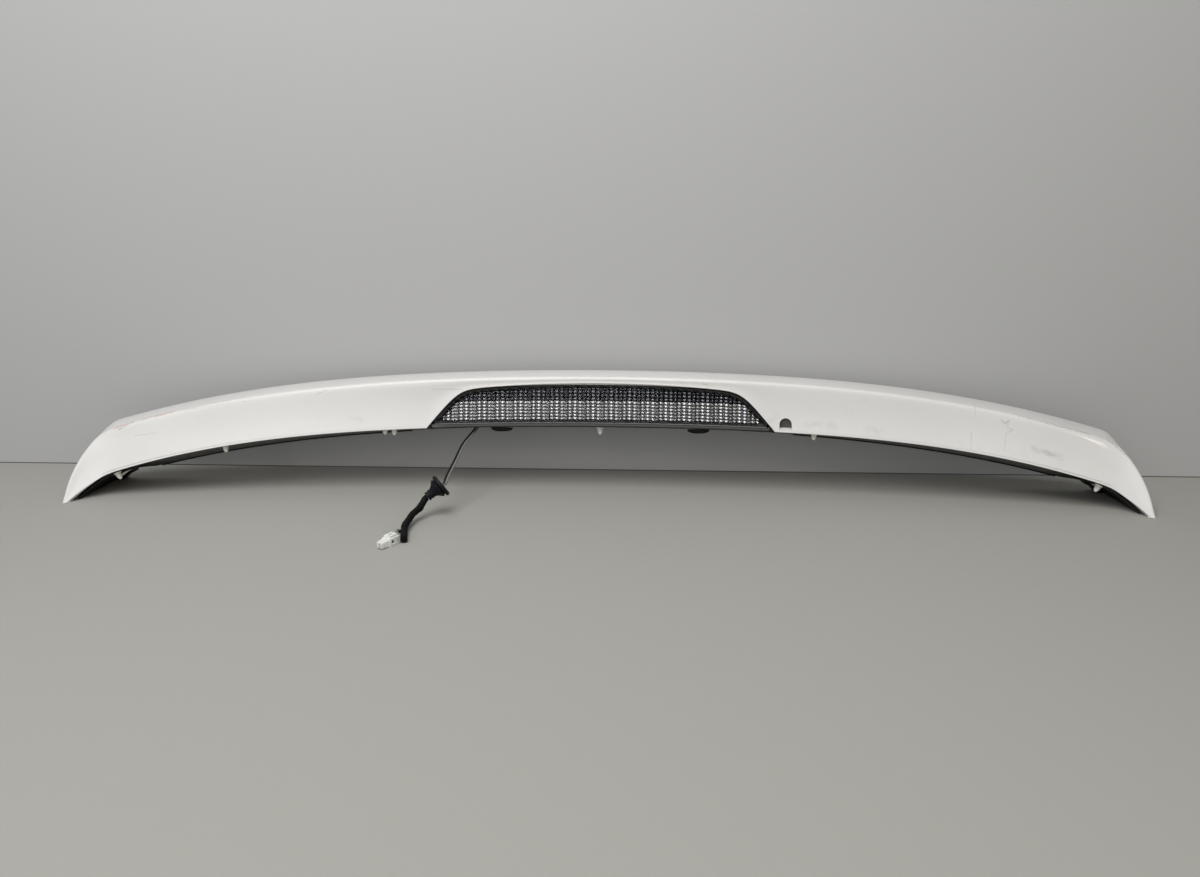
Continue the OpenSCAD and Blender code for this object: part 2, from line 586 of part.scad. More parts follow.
// Rubber grommet: a flange, a groove that sits in the body's hole, a cone and a ribbed neck
module grommet() placed() color([0.05, 0.05, 0.06])
    along(grommet_at - grommet_axis * 1.6, loom_route[0] - grommet_axis * 0.2)
    rotate_extrude($fn = 64) polygon([[0, 0], [grommet_d / 2 - 1.4, 0], [grommet_d / 2, 1],
        [grommet_d / 2, 2.8], [grommet_d / 2 - 0.8, 3.4], [grommet_d / 2 - 3, 3.4],
        [grommet_d / 2 - 3, 4.6], [grommet_d / 2 - 1.8, 4.8], [grommet_d / 2 - 2, 6],
        [grommet_d / 2 - 4.4, 8.4], [7, 10.6], [5.6, 13], [5.1, 14.6], [5.1, grommet_l - 6],
        [5.7, grommet_l - 5.6], [5.7, grommet_l - 4.4], [4.9, grommet_l - 4],
        [4.9, grommet_l - 2], [5.5, grommet_l - 1.6], [5.5, grommet_l], [0, grommet_l]]);

// White two-way connector, its origin in the middle of the back's foot, mouth along +X
plug_h = 8.6;
plug_at = [-203.3, -261.6, 0];
plug_turn = -117;
module connector_frame() translate(plug_at) rotate([0, 0, plug_turn]) children();
module connector_housing() placed() color([0.9, 0.9, 0.87]) connector_frame() difference() {
    union() {
        translate([0, -plug_w / 2, 0]) cube([plug_l, plug_w, plug_h]);
        // latch housing on the top, and a guide rib on each side
        translate([1.5, -4, plug_h - 0.5]) cube([13, 8, 3.1]);
        translate([plug_l - 9, -2.2, plug_h - 0.5]) cube([8, 4.4, 1.5]);
        for (s = [-1, 1]) translate([plug_l - 12, s * plug_w / 2 - 0.6, 2]) cube([11, 1.2, 1.6]);
    }
    translate([plug_l - 9, 1 - plug_w / 2, 1.1]) cube([10, plug_w - 2, plug_h - 2.2]);
    // slot under the latch
    translate([4, -2.6, plug_h + 0.4]) cube([14, 5.2, 1.2]);
    translate([4.5, -1.6, plug_h + 1]) cube([6, 3.2, 3]);
    // windows over the terminals
    for (s = [-1, 1]) translate([8, s * (plug_w / 2 - 0.5) - 1, 3.4]) cube([4, 2, 3]);
    for (s = [-1, 1]) translate([plug_l - 15, s * 2.4 - 1.2, 3]) cube([8, 2.4, 2.4]);
}
module connector_lock() placed() color([0.75, 0.76, 0.75]) connector_frame() difference() {
    translate([plug_l - 8.8, 1.3 - plug_w / 2, 1.4]) cube([4, plug_w - 2.6, plug_h - 2.8]);
    for (s = [-1, 1]) translate([plug_l - 10, s * 2.4 - 1, 3.2]) cube([8, 2, 2]);
}

outer_skin();
inner_panel();
left_end_bracket();
right_end_bracket();
left_edge_seal();
right_edge_seal();
lamp_housing();
lamp_reflector();
lamp_board();
lamp_emitters();
lamp_lens();
lamp_gasket();
lamp_screws();
mounting_studs();
stud_washers();
retaining_clips();
left_bumper();
right_bumper();
wire_black();
wire_grey();
grommet();
taped_loom();
connector_housing();
connector_lock();
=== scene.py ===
from itertools import product
from math import copysign, cos, exp, log, pi, radians, sin, sqrt

import bmesh
import bpy
from mathutils import Matrix, Vector, noise


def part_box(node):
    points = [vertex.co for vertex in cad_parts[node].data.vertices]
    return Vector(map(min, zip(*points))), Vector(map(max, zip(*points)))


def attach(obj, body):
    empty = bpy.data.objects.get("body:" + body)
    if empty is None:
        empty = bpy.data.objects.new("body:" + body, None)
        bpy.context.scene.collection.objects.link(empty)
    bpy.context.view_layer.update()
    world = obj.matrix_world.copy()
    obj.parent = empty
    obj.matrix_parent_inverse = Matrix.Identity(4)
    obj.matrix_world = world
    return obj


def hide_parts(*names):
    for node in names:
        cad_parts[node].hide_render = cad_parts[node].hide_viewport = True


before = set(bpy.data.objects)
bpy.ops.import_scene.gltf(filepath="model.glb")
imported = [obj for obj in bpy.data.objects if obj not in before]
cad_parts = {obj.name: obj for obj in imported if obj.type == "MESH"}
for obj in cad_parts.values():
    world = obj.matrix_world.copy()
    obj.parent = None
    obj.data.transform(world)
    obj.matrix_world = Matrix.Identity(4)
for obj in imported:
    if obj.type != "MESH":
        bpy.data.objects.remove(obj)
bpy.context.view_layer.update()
scene = bpy.context.scene
scene.view_settings.view_transform = "Standard"

# Camera
# The picture was taken from a good metre back and a third of a metre up, a little right
# of the spoiler's middle, looking slightly left and down at it.
camera_at = (0.04323, -1.093262, 0.337398)
camera = bpy.data.objects.new("camera", bpy.data.cameras.new("camera"))
scene.collection.objects.link(camera)
scene.camera = camera
camera.data.sensor_width = 36
camera.data.sensor_fit = "HORIZONTAL"
camera.data.lens = 27.9
camera.data.clip_start = 0.01
turn, dip, tilt = radians(2.248), radians(14), radians(0.093)
ahead = Vector((-sin(turn) * cos(dip), cos(turn) * cos(dip), -sin(dip)))
level = Vector((cos(turn), sin(turn), 0))
upward = level.cross(ahead)
side_axis = level * cos(tilt) + upward * sin(tilt)
top_axis = upward * cos(tilt) - level * sin(tilt)
camera.matrix_world = Matrix.Translation(camera_at) @ Matrix(
    (side_axis, top_axis, -ahead)).transposed().to_4x4()


# Lamp lead, its two wires
# Two thin insulated wires, one black and one grey, leave the underside of the inner
# panel behind the lamp, run through the grommet and the tape, and end in the connector.
def feed(tree, node, inputs):
    """Links each input that is given a socket, and sets each that is given a value."""
    for key, value in inputs.items():
        if isinstance(value, bpy.types.NodeSocket):
            tree.links.new(value, node.inputs[key])
        else:
            node.inputs[key].default_value = value


def add_node(tree, kind, inputs=None, **settings):
    made = tree.nodes.new("ShaderNode" + kind)
    for name, value in settings.items():
        setattr(made, name, value)
    feed(tree, made, inputs or {})
    return made


def place_in(tree):
    return add_node(tree, "TexCoord").outputs["Object"]


def noisy(tree, place, scale, detail, roughness=0.5):
    return add_node(tree, "TexNoise", {"Vector": place, "Scale": scale, "Detail": detail,
                                       "Roughness": roughness}).outputs


def maths(tree, operation, *terms, **settings):
    return add_node(tree, "Math", dict(enumerate(terms)), operation=operation,
                    **settings).outputs[0]


def vector_maths(tree, operation, *terms, **named):
    made = add_node(tree, "VectorMath", {**dict(enumerate(terms)), **named}, operation=operation)
    gives_value = operation in ("DOT_PRODUCT", "LENGTH", "DISTANCE")
    return made.outputs["Value" if gives_value else "Vector"]


def remap(tree, value, from_low, from_high, to_low, to_high, **settings):
    return add_node(tree, "MapRange", {
        "Value": value, "From Min": from_low, "From Max": from_high, "To Min": to_low,
        "To Max": to_high}, **settings).outputs["Result"]


def blend(tree, factor, first, second):
    return add_node(tree, "Mix", {0: factor, 6: first, 7: second}, data_type="RGBA").outputs[2]


def new_material(name, colour, roughness, **plain):
    made = bpy.data.materials.new(name)
    made.use_nodes = True
    shader = made.node_tree.nodes["Principled BSDF"]
    shader.inputs["Base Color"].default_value = (*colour, 1)
    shader.inputs["Roughness"].default_value = roughness
    for key, value in plain.items():
        shader.inputs[key.replace("_", " ").title().replace("Ior", "IOR")].default_value = value
    made.diffuse_color = (*colour, 1)
    return made, made.node_tree, shader


def new_group(name, inputs, outputs):
    tree = bpy.data.node_groups.new(name, "ShaderNodeTree")
    for label, kind, start in inputs:
        socket = tree.interface.new_socket(name=label, in_out="INPUT",
                                           socket_type="NodeSocket" + kind)
        socket.default_value = start
    for label, kind in outputs:
        tree.interface.new_socket(name=label, in_out="OUTPUT", socket_type="NodeSocket" + kind)
    return tree, tree.nodes.new("NodeGroupInput").outputs, tree.nodes.new("NodeGroupOutput")


# Moulded surfaces share one uneven tone and one fine grain
grain_depth = 0.0004
grain_group, grain_in, grain_out = new_group("moulded grain", [
    ("Dark", "Color", (0, 0, 0, 1)), ("Light", "Color", (1, 1, 1, 1)),
    ("Patch Scale", "Float", 30), ("Grain Scale", "Float", 1500),
    ("Rough Low", "Float", 0.4), ("Rough High", "Float", 0.6)],
    [("Color", "Color"), ("Roughness", "Float"), ("Height", "Float")])
grain_place = place_in(grain_group)
patches = noisy(grain_group, grain_place, grain_in["Patch Scale"], 5, 0.6)["Fac"]
feed(grain_group, grain_out, {
    "Color": blend(grain_group, patches, grain_in["Dark"], grain_in["Light"]),
    "Roughness": remap(grain_group, patches, 0.3, 0.7, grain_in["Rough Low"],
                       grain_in["Rough High"]),
    "Height": noisy(grain_group, grain_place, grain_in["Grain Scale"], 3)["Fac"]})


def moulded_material(name, dark, light, rough, patch=30, grain=1500, bump=0.15, **plain):
    made, tree, shader = new_material(name, light, rough[0], **plain)
    look = add_node(tree, "Group", {
        "Dark": (*dark, 1), "Light": (*light, 1), "Patch Scale": patch, "Grain Scale": grain,
        "Rough Low": rough[0], "Rough High": rough[1]}, node_tree=grain_group).outputs
    relief = add_node(tree, "Bump", {"Height": look["Height"], "Strength": bump,
                                     "Distance": grain_depth})
    feed(tree, shader, {"Base Color": look["Color"], "Roughness": look["Roughness"],
                        "Normal": relief.outputs["Normal"]})
    return made


def wire_curve(name, points, thickness):
    curve = bpy.data.curves.new(name, "CURVE")
    curve.dimensions = "3D"
    curve.bevel_depth = thickness / 2
    curve.bevel_resolution = 3
    curve.resolution_u = 8
    curve.use_fill_caps = True
    line = curve.splines.new("BEZIER")
    line.bezier_points.add(len(points) - 1)
    for knot, point in zip(line.bezier_points, points):
        knot.co = point
        knot.handle_left_type = knot.handle_right_type = "AUTO"
    piece = bpy.data.objects.new(name, curve)
    scene.collection.objects.link(piece)
    return piece


wire_thickness, half_spread, half_spread_at_panel = 0.0022, 0.0012, 0.0015
across_lead, grommet_entry, grommet_end = Vector((-0.414, 0.91, 0)), 0.0005, 0.012
wire_route = [(-0.1505, 0.019, 0.0775), (-0.151, 0.014, 0.0754), (-0.152, 0.008, 0.0732),
              (-0.1544, -0.001, 0.0704), (-0.157, -0.011, 0.0676), (-0.1608, -0.024, 0.0634),
              (-0.1632, -0.039, 0.058), (-0.1646, -0.054, 0.053), (-0.1666, -0.069, 0.0476),
              (-0.169, -0.08, 0.0422), (-0.1703, -0.09, 0.0376), (-0.1709, -0.097, 0.0344)]
loom_route = [(-0.1894, -0.109, 0.0216), (-0.1907, -0.1102, 0.0203),
              (-0.1946, -0.1204, 0.0135), (-0.1991, -0.131, 0.0105), (-0.2011, -0.147, 0.008),
              (-0.2014, -0.1629, 0.0064), (-0.1985, -0.1783, 0.005),
              (-0.1941, -0.1968, 0.0041)]
plug_route_grey = [(-0.2034, -0.1788, 0.0076), (-0.2042, -0.183, 0.0094),
                   (-0.203, -0.1878, 0.0086), (-0.201, -0.1916, 0.0062),
                   (-0.2018, -0.1937, 0.0052)]
plug_route_black = [(-0.2039, -0.1768, 0.0048), (-0.2054, -0.1818, 0.0062),
                    (-0.2054, -0.1862, 0.0064), (-0.2043, -0.1898, 0.0056),
                    (-0.2053, -0.192, 0.005)]
grommet_at = Vector((-0.1736, -0.1018, 0.034))
grommet_axis = (Vector(loom_route[0]) - grommet_at).normalized()
wires = {}
for name, side, end_route, dark, light in (
        ("black", -1, plug_route_black, (0.003, 0.003, 0.003), (0.008, 0.008, 0.008)),
        ("grey", 1, plug_route_grey, (0.11, 0.11, 0.105), (0.18, 0.18, 0.165))):
    aside = across_lead * -side * half_spread
    route = [(x + side * half_spread_at_panel, y, z) for x, y, z in wire_route]
    route += [grommet_at + grommet_axis * far + aside for far in (grommet_entry, grommet_end)]
    route += [(x + side * half_spread, y, z) for x, y, z in loom_route[1:6]] + end_route
    wires[name] = wire_curve("lead_wire_" + name, [Vector(p) for p in route], wire_thickness)
    wires[name].data.materials.append(moulded_material(
        name + " wire insulation", dark, light, (0.35, 0.5), patch=90, grain=2500, bump=0.08,
        specular_ior_level=0.2))
    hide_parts("wire_" + name)
    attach(wires[name], "root")


# Rubber grommet
# A soft rubber disc with a groove for the body's hole, a cone that closes round the lead
# and a neck with two beads. It is turned as one profile about its own axis.
def link_piece(name, mesh, material=None, smooth=40):
    data = bpy.data.meshes.new(name)
    mesh.to_mesh(data)
    mesh.free()
    for face in data.polygons:
        face.use_smooth = True
    data.set_sharp_from_angle(angle=radians(smooth))
    if material:
        data.materials.append(material)
    piece = bpy.data.objects.new(name, data)
    scene.collection.objects.link(piece)
    return piece


def turned(profile, sides, closed):
    mesh = bmesh.new()
    ring = [mesh.verts.new((r, 0, h)) for r, h in profile]
    edges = [mesh.edges.new(pair)
             for pair in zip(ring, ring[1:] + ring[:1] if closed else ring[1:])]
    bmesh.ops.spin(mesh, geom=ring + edges, cent=(0, 0, 0), axis=(0, 0, 1),
                   angle=2 * pi, steps=sides, use_merge=True, use_duplicate=False)
    bmesh.ops.remove_doubles(mesh, verts=mesh.verts, dist=1e-6)
    bmesh.ops.recalc_face_normals(mesh, faces=mesh.faces)
    return mesh


def along_axis(start, axis):
    turn_to = Vector((0, 0, 1)).rotation_difference(axis).to_matrix().to_4x4()
    return Matrix.Translation(start) @ turn_to


# Radius and height in millimetres, from the disc's back to the neck's end and back inside
disc_back, short_of_tape = 1.6, 1.15
neck = (Vector(loom_route[0]) - grommet_at).length * 1000 + disc_back - short_of_tape
grommet_profile = [
    (2.7, 0.8), (3.5, 0), (11.4, 0), (12.5, 0.3), (13.2, 1), (13.5, 2), (13.5, 2.8),
    (13.2, 3.7), (12.5, 4.3), (11.5, 4.5), (10.5, 4.6), (10.1, 4.9), (10.1, 5.4), (10.5, 5.8),
    (11.2, 5.9), (11.5, 6.3), (11.3, 7), (10.5, 8), (9.3, 9.2), (8.2, 10.2), (7.2, 11.3),
    (6.4, 12.5), (5.8, 13.6), (5.4, 14.6), (5.2, 15.4)]
grommet_profile += [(r, neck - h) for r, h in (
    (5.1, 6.2), (5.4, 5.9), (5.75, 5.3), (5.75, 4.7), (5.3, 4.2), (4.95, 3.8), (4.95, 2.2),
    (5.2, 1.8), (5.55, 1.2), (5.5, 0.4), (5.1, 0), (4.2, 0), (4, 0.4), (4, 2.5), (2.7, 4))]
grommet_mesh = turned([(r / 1000, h / 1000) for r, h in grommet_profile], 64, True)
grommet_mesh.transform(along_axis(grommet_at - grommet_axis * disc_back / 1000, grommet_axis))
grommet = link_piece("rubber_grommet", grommet_mesh, moulded_material(
    "grommet rubber", (0.003, 0.0035, 0.005), (0.009, 0.0095, 0.013), (0.4, 0.55),
    patch=120, grain=2200, bump=0.12, specular_ior_level=0.15), 50)
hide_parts("grommet")
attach(grommet, "root")

# Taped loom
# Cloth-backed black tape is wound round both wires from the grommet to the connector, in
# overlapping turns that leave small steps, one fat lump and a lesser one, and is cut square.
tape_radius, tape_pitch, tape_sides, tape_steps = 0.0038, 0.0085, 28, 150
turn_low, turn_step, step_sharpness, turn_slope = 0.9, 0.12, 7, 0.1
# Each lump's height as a share of the radius, its place along the tape and its half length
tape_lumps = ((0.10, 0.016, 0.004), (0.05, 0.058, 0.006))
lobe_height, lobe_turn, roughness_height, roughness_scale = 0.035, 260, 0.03, 300


def smooth_points(points, count):
    ends = [2 * points[0] - points[1]] + points + [2 * points[-1] - points[-2]]
    found = []
    for k in range(count + 1):
        at = k / count * (len(points) - 1)
        i = min(int(at), len(points) - 2)
        t = at - i
        a, b, c, d = ends[i:i + 4]
        found.append(0.5 * (2 * b + (c - a) * t + (2 * a - 5 * b + 4 * c - d) * t * t
                            + (3 * b - a - 3 * c + d) * t ** 3))
    return found


def bent_grid(across, along, put):
    """A grid of quads, its points put where put(i, j) says."""
    mesh = bmesh.new()
    bmesh.ops.create_grid(mesh, x_segments=across, y_segments=along, size=1)
    for point in mesh.verts:
        point.co = put(round((point.co.x + 1) / 2 * across),
                       round((point.co.y + 1) / 2 * along))
    return mesh


tape_line = smooth_points([Vector(p) for p in loom_route], tape_steps)
tape_run = [0.0]
for a, b in zip(tape_line, tape_line[1:]):
    tape_run.append(tape_run[-1] + (b - a).length)


def tape_point(i, j):
    run, angle = tape_run[j], 2 * pi * i / tape_sides
    ahead_of = tape_line[min(j + 1, tape_steps)] - tape_line[max(j - 1, 0)]
    u = ahead_of.cross(Vector((0.02, 0.01, 1))).normalized()
    v = ahead_of.cross(u).normalized()
    wrap = (run / tape_pitch + angle / (2 * pi)) % 1
    wrapped = turn_low + turn_step * min(1, wrap * step_sharpness) - turn_slope * wrap
    lobes = 1 + lobe_height * cos(3 * angle + run * lobe_turn)
    lump = sum(high * exp(-((run - at) / half) ** 2) for high, at, half in tape_lumps)
    grain_at = Vector((cos(angle) * 2, sin(angle) * 2, run * roughness_scale))
    radius = tape_radius * wrapped * lobes * (1 + lump + roughness_height * noise.noise(grain_at))
    return tape_line[j] + (u * cos(angle) + v * sin(angle)) * radius


tape_mesh = bent_grid(tape_sides, tape_steps, tape_point)
bmesh.ops.remove_doubles(tape_mesh, verts=tape_mesh.verts, dist=1e-5)
bmesh.ops.holes_fill(tape_mesh, edges=[e for e in tape_mesh.edges if e.is_boundary], sides=0)
bmesh.ops.recalc_face_normals(tape_mesh, faces=tape_mesh.faces)
loom = link_piece("taped_lead", tape_mesh, moulded_material(
    "black cloth tape", (0.0015, 0.0015, 0.0015), (0.007, 0.007, 0.007), (0.5, 0.68),
    patch=260, grain=1800, bump=0.35, specular_ior_level=0.08), 35)
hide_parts("taped_loom")
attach(loom, "root")


# Lamp connector and its lock
# A two-way housing moulded in white nylon, with a latch on its top, windows over the
# terminals and a lock pressed into its mouth. Its edges are slightly rounded.
def rounded_copy(name, node, material, radius=0.0, smooth=30):
    """The solid's mesh, merged, and with a radius its flat faces joined and edges rounded."""
    mesh = bmesh.new()
    mesh.from_mesh(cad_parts[node].data)
    bmesh.ops.remove_doubles(mesh, verts=mesh.verts, dist=2e-6)
    if radius:
        bmesh.ops.dissolve_limit(mesh, angle_limit=radians(1), verts=mesh.verts, edges=mesh.edges)
        sharp = [e for e in mesh.edges if len(e.link_faces) == 2
                 and e.calc_face_angle(0) > radians(40)]
        bmesh.ops.bevel(mesh, geom=sharp, offset=radius, segments=2, profile=0.5,
                        affect="EDGES", material=-1, clamp_overlap=True)
    bmesh.ops.recalc_face_normals(mesh, faces=mesh.faces)
    piece = link_piece(name, mesh, material, smooth)
    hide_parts(node)
    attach(piece, "root")
    return piece


# The faces inside the connector's windows, slots and holes are painted black as shade in the
# hollows
recess_shade = moulded_material("painted recess shade", (0.004, 0.004, 0.004), (0.012, 0.012, 0.011),
                                (0.6, 0.8), patch=200, grain=1400, bump=0.05)
nose_start, nose_taper, nose_axis = 15, 0.017, 3.6
connector_place = (Matrix.Translation((-0.2033, -0.1936, 0))
                   @ Matrix.Rotation(radians(-117), 4, "Z") @ Matrix.Scale(0.001, 4))


def in_boxes(boxes, x, y, z):
    return any(x0 < x < x1 and y0 <= abs(y) < y1 and z0 < z < z1
               for x0, x1, y0, y1, z0, z1 in boxes)


def from_boxes(name, node, material, filled, hollows, dark, bevel):
    """The filled boxes less the hollows, tapered and rounded, with faces in dark painted black as
    shade.
    """
    bounds = filled + hollows
    cuts = [sorted({v for box in bounds for v in box[:2]}),
            sorted({v * side for box in bounds for v in box[2:4] if v for side in (-1, 1)}),
            sorted({v for box in bounds for v in box[4:]})]
    mesh, corners = bmesh.new(), {}

    def kept(cell):
        if not all(0 <= i < len(axis) - 1 for axis, i in zip(cuts, cell)):
            return False
        centre = [(axis[i] + axis[i + 1]) / 2 for axis, i in zip(cuts, cell)]
        return in_boxes(filled, *centre) and not in_boxes(hollows, *centre)

    def corner_at(at):
        if at not in corners:
            corners[at] = mesh.verts.new([cuts[n][at[n]] for n in range(3)])
        return corners[at]

    for cell in product(*[range(len(axis) - 1) for axis in cuts]):
        for axis, step in product(range(3), (0, 1)):
            beside = list(cell)
            beside[axis] += 2 * step - 1
            if not kept(cell) or kept(beside):
                continue
            u, v = (axis + 1) % 3, (axis + 2) % 3
            loop = []
            for du, dv in ((0, 0), (1, 0), (1, 1), (0, 1)):
                at = list(cell)
                at[axis], at[u], at[v] = at[axis] + step, at[u] + du, at[v] + dv
                loop.append(corner_at(tuple(at)))
            mesh.faces.new(loop if step else loop[::-1])
    bmesh.ops.recalc_face_normals(mesh, faces=mesh.faces)
    bmesh.ops.dissolve_limit(mesh, angle_limit=radians(1), verts=mesh.verts, edges=mesh.edges)
    for point in mesh.verts:
        slim = 1 - nose_taper * max(0, point.co.x - nose_start)
        point.co.y *= slim
        point.co.z = nose_axis + (point.co.z - nose_axis) * slim
    bmesh.ops.bevel(mesh, geom=mesh.edges[:], offset=bevel, segments=2, profile=0.5,
                    affect="EDGES", material=-1, clamp_overlap=True)
    for face in mesh.faces:
        face.material_index = int(in_boxes(dark, *face.calc_center_median()))
    mesh.transform(connector_place)
    piece = link_piece(name, mesh, material, 30)
    piece.data.materials.append(recess_shade)
    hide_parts(node)
    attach(piece, "root")
    return piece


# Boxes in millimetres: from the wires' end forwards, from the middle sideways, and upwards
connector = from_boxes("lamp_connector", "connector_housing", moulded_material(
    "white nylon", (0.58, 0.58, 0.53), (0.74, 0.74, 0.69), (0.3, 0.42), patch=160, grain=1400,
    bump=0.08, subsurface_weight=0.1),
    [(0, 15, 0, 5.4, 0, 8.6), (15, 24.4, 0, 4.4, 0.6, 7.9),
     (1.6, 13.4, 0, 4, 8.6, 11.1), (13.4, 23, 0, 0.9, 7.9, 8.9)],
    [(17, 24.4, 0, 3.3, 1.9, 6.7), (4.4, 11, 0, 1.2, 9.2, 11.1), (8.2, 12, 4.4, 5.4, 3, 6.2),
     (1.6, 3.6, 4.4, 5.4, 2, 3.4), (1.6, 3.6, 4.4, 5.4, 4.6, 6)],
    [(4.5, 10.9, 0, 1.15, 9.1, 10.6), (8.3, 11.9, 4.3, 5.1, 3.1, 6.1),
     (1.7, 3.5, 4.3, 5.1, 2, 6)], 0.22)
connector_lock = from_boxes("lamp_connector_lock", "connector_lock", moulded_material(
    "grey nylon", (0.5, 0.5, 0.46), (0.62, 0.62, 0.57), (0.35, 0.45), patch=160, grain=1400,
    bump=0.08), [(17.2, 24.6, 0, 3.2, 2, 6.6)],
    [(23.4, 24.6, 0, 0.6, 2.5, 3.5), (23.4, 24.6, 0, 0.6, 5, 6)],
    [(23.3, 24.3, 0, 0.7, 0, 9)], 0.12)


# Painted skin
# One injection moulded shell in pearl white paint: a top that falls to a rounded crease,
# a tall face, end walls that turn down to points, and turned in edges all round.

# Lengths are in millimetres from the middle of the front edge. t runs from 0 in the middle
# to 1 at an end, and w from 0 at the corner to 1 at the tip.
front_half, crease_half, low_half = 620, 596, 585
front_top, crease_top, low_top = 137, 139.3, 79.5
front_fall, crease_fall, low_fall = 64, 65.4, 52
front_sweep, crease_out, crease_sweep = 45, 62, 40.5
lean_middle, lean_gain = 0.17, 0.28
lamp_half, flank_slope, flank_blend = 209, 1.17, 8
opening_drop, opening_bow = 8.3, 0.00028
corner_start, corner_end = 0.975, 0.14


def bow(t, share):
    return share * t * t + (1 - share) * t ** 4


def mix(a, b, s):
    return a + (b - a) * s


def curved(a, b, c, s):
    return (1 - s) ** 2 * a + 2 * s * (1 - s) * b + s * s * c


def front_edge(t):
    return Vector((front_half * t, -front_sweep * t ** 4, front_top - front_fall * bow(t, 0.63)))


def crease_edge(t):
    return Vector((crease_half * t, -crease_out - crease_sweep * t * t,
                   crease_top - crease_fall * bow(t, 0.53)))


def face_y(x, z):
    t = abs(x) / crease_half
    crease = crease_edge(t)
    return crease.y - (lean_middle + lean_gain * t * t) * (crease.z - z)


def low_z(x):
    return low_top - low_fall * bow(abs(x) / low_half, 0.27)


def opening_z(x, inset=0):
    flank = (low_z(lamp_half) + (lamp_half - abs(x)) * flank_slope
             - inset * sqrt(1 + flank_slope ** 2))
    top = crease_top - opening_drop - opening_bow * x * x - inset
    return min(flank, top) - flank_blend * log(1 + exp(-abs(flank - top) / flank_blend))


def low_edge(t):
    x = crease_half * t - (crease_half - low_half) * t ** 4
    z = low_z(x) if abs(x) >= lamp_half else max(low_z(x), opening_z(x))
    return Vector((x, face_y(x, z), z))


low_start = Vector((low_half, face_y(low_half, low_z(low_half)), low_z(low_half)))
tip, front_foot = Vector((626, -150, 0)), Vector((622, -front_sweep, 0))
crease_pull = Vector((625, -127.5, crease_edge(1).z * 0.6))
low_pull, low_tip = Vector((606, -133.5, low_start.z * 0.54)), tip + Vector((-4.5, 1.2, 0))


def front_end(w):
    return mix(front_edge(1), front_foot, w)


def crease_end(w):
    return curved(crease_edge(1), crease_pull, tip, w)


def low_end(w):
    return curved(low_start, low_pull, low_tip, w)


# A station says which stretch it is in, 0 for the middle, 1 for a corner and 2 for an end
# wall, and how far along that stretch it lies
def guide(station, main, corner, end):
    kind, value = station
    if kind == 0:
        return main(value)
    return curved(main(corner_start), corner, end(corner_end), value) if kind == 1 else end(value)


# Stations lie closer together where the opening's flanks rise, and at its lower corners
half_stations = [(0, x / crease_half) for x in (*range(0, 124, 8), *range(124, 208, 2))]
half_stations += [(0, 208.6 / crease_half), (0, 209.2 / crease_half)]
half_stations += [(0, mix(213 / crease_half, corner_start, i / 40)) for i in range(41)]
half_stations += [(1, i / 10) for i in range(1, 10)]
half_stations += [(2, mix(corner_end, 1, i / 28)) for i in range(29)]
stations = [(s, -1) for s in reversed(half_stations[1:])] + [(s, 1) for s in half_stations]
flange_middle, flange_tip = Vector((0, -1.5, -10)), Vector((-5, -1.5, 0))
lip_middle, lip_tip = Vector((0, 9, 2)), Vector((-2, 6.3, 0))
crease_round, flange_round, lip_round, face_crown, top_crown = 4, 2, 1.1, 1.6, 1.3


def skin_section(station):
    front = guide(station, front_edge, front_edge(1), front_end)
    crease = guide(station, crease_edge, crease_edge(1), crease_end)
    low = guide(station, low_edge, low_start, low_end)
    kind, value = station
    k = (0, 0.3 * value, mix(0.3, 1, (value - corner_end) / (1 - corner_end)))[kind]
    flange = mix(flange_middle, flange_tip, min(1, 2 * k))
    lip = mix(lip_middle, lip_tip, k)
    to_front, to_low = (front - crease).normalized(), (low - crease).normalized()
    face_height = (low - crease).length
    r = min(crease_round, face_height * 0.4, (front - crease).length * 0.2)
    a, b = crease + to_front * r, crease + to_low * r
    out = to_low.cross(Vector((1, 0, 0))).normalized() * -face_crown * min(1, face_height / 50)
    up = Vector((0, 0, top_crown)) * (1 - k)
    small = min(flange_round, flange.length * 0.3, (front - a).length * 0.3)
    f1, f2 = front + flange.normalized() * small, mix(front, a, small / (front - a).length)
    turn_in = min(lip_round, lip.length * 0.3, (low - b).length * 0.3)
    l1 = mix(low, b, turn_in / max((low - b).length, 1e-6))
    l2 = low + lip.normalized() * turn_in
    points = [front + flange, mix(front + flange, f1, 0.5), f1, curved(f1, front, f2, 0.35),
              curved(f1, front, f2, 0.65), f2]
    points += [mix(f2, a, i / 9) + up * sin(pi * i / 9) for i in range(1, 9)] + [a]
    points += [curved(a, crease, b, i / 5) for i in range(1, 5)] + [b]
    points += [mix(b, l1, i / 14) + out * sin(pi * (i / 14) ** 1.15) for i in range(1, 14)]
    points += [mix(b, l1, 1 - min(0.3, 0.3 / max((l1 - b).length, 1e-6)))]
    points += [l1, curved(l1, low, l2, 0.35), curved(l1, low, l2, 0.65), l2,
               mix(l2, low + lip, 0.5), low + lip]
    return points


skin_back = 68


def in_metres(point):
    return Vector((point.x, point.y + skin_back, point.z)) / 1000


skin_sections = []
for station, side in stations:
    section = skin_section(station)
    skin_sections.append([in_metres(Vector((p.x * side, p.y, p.z))) for p in section])
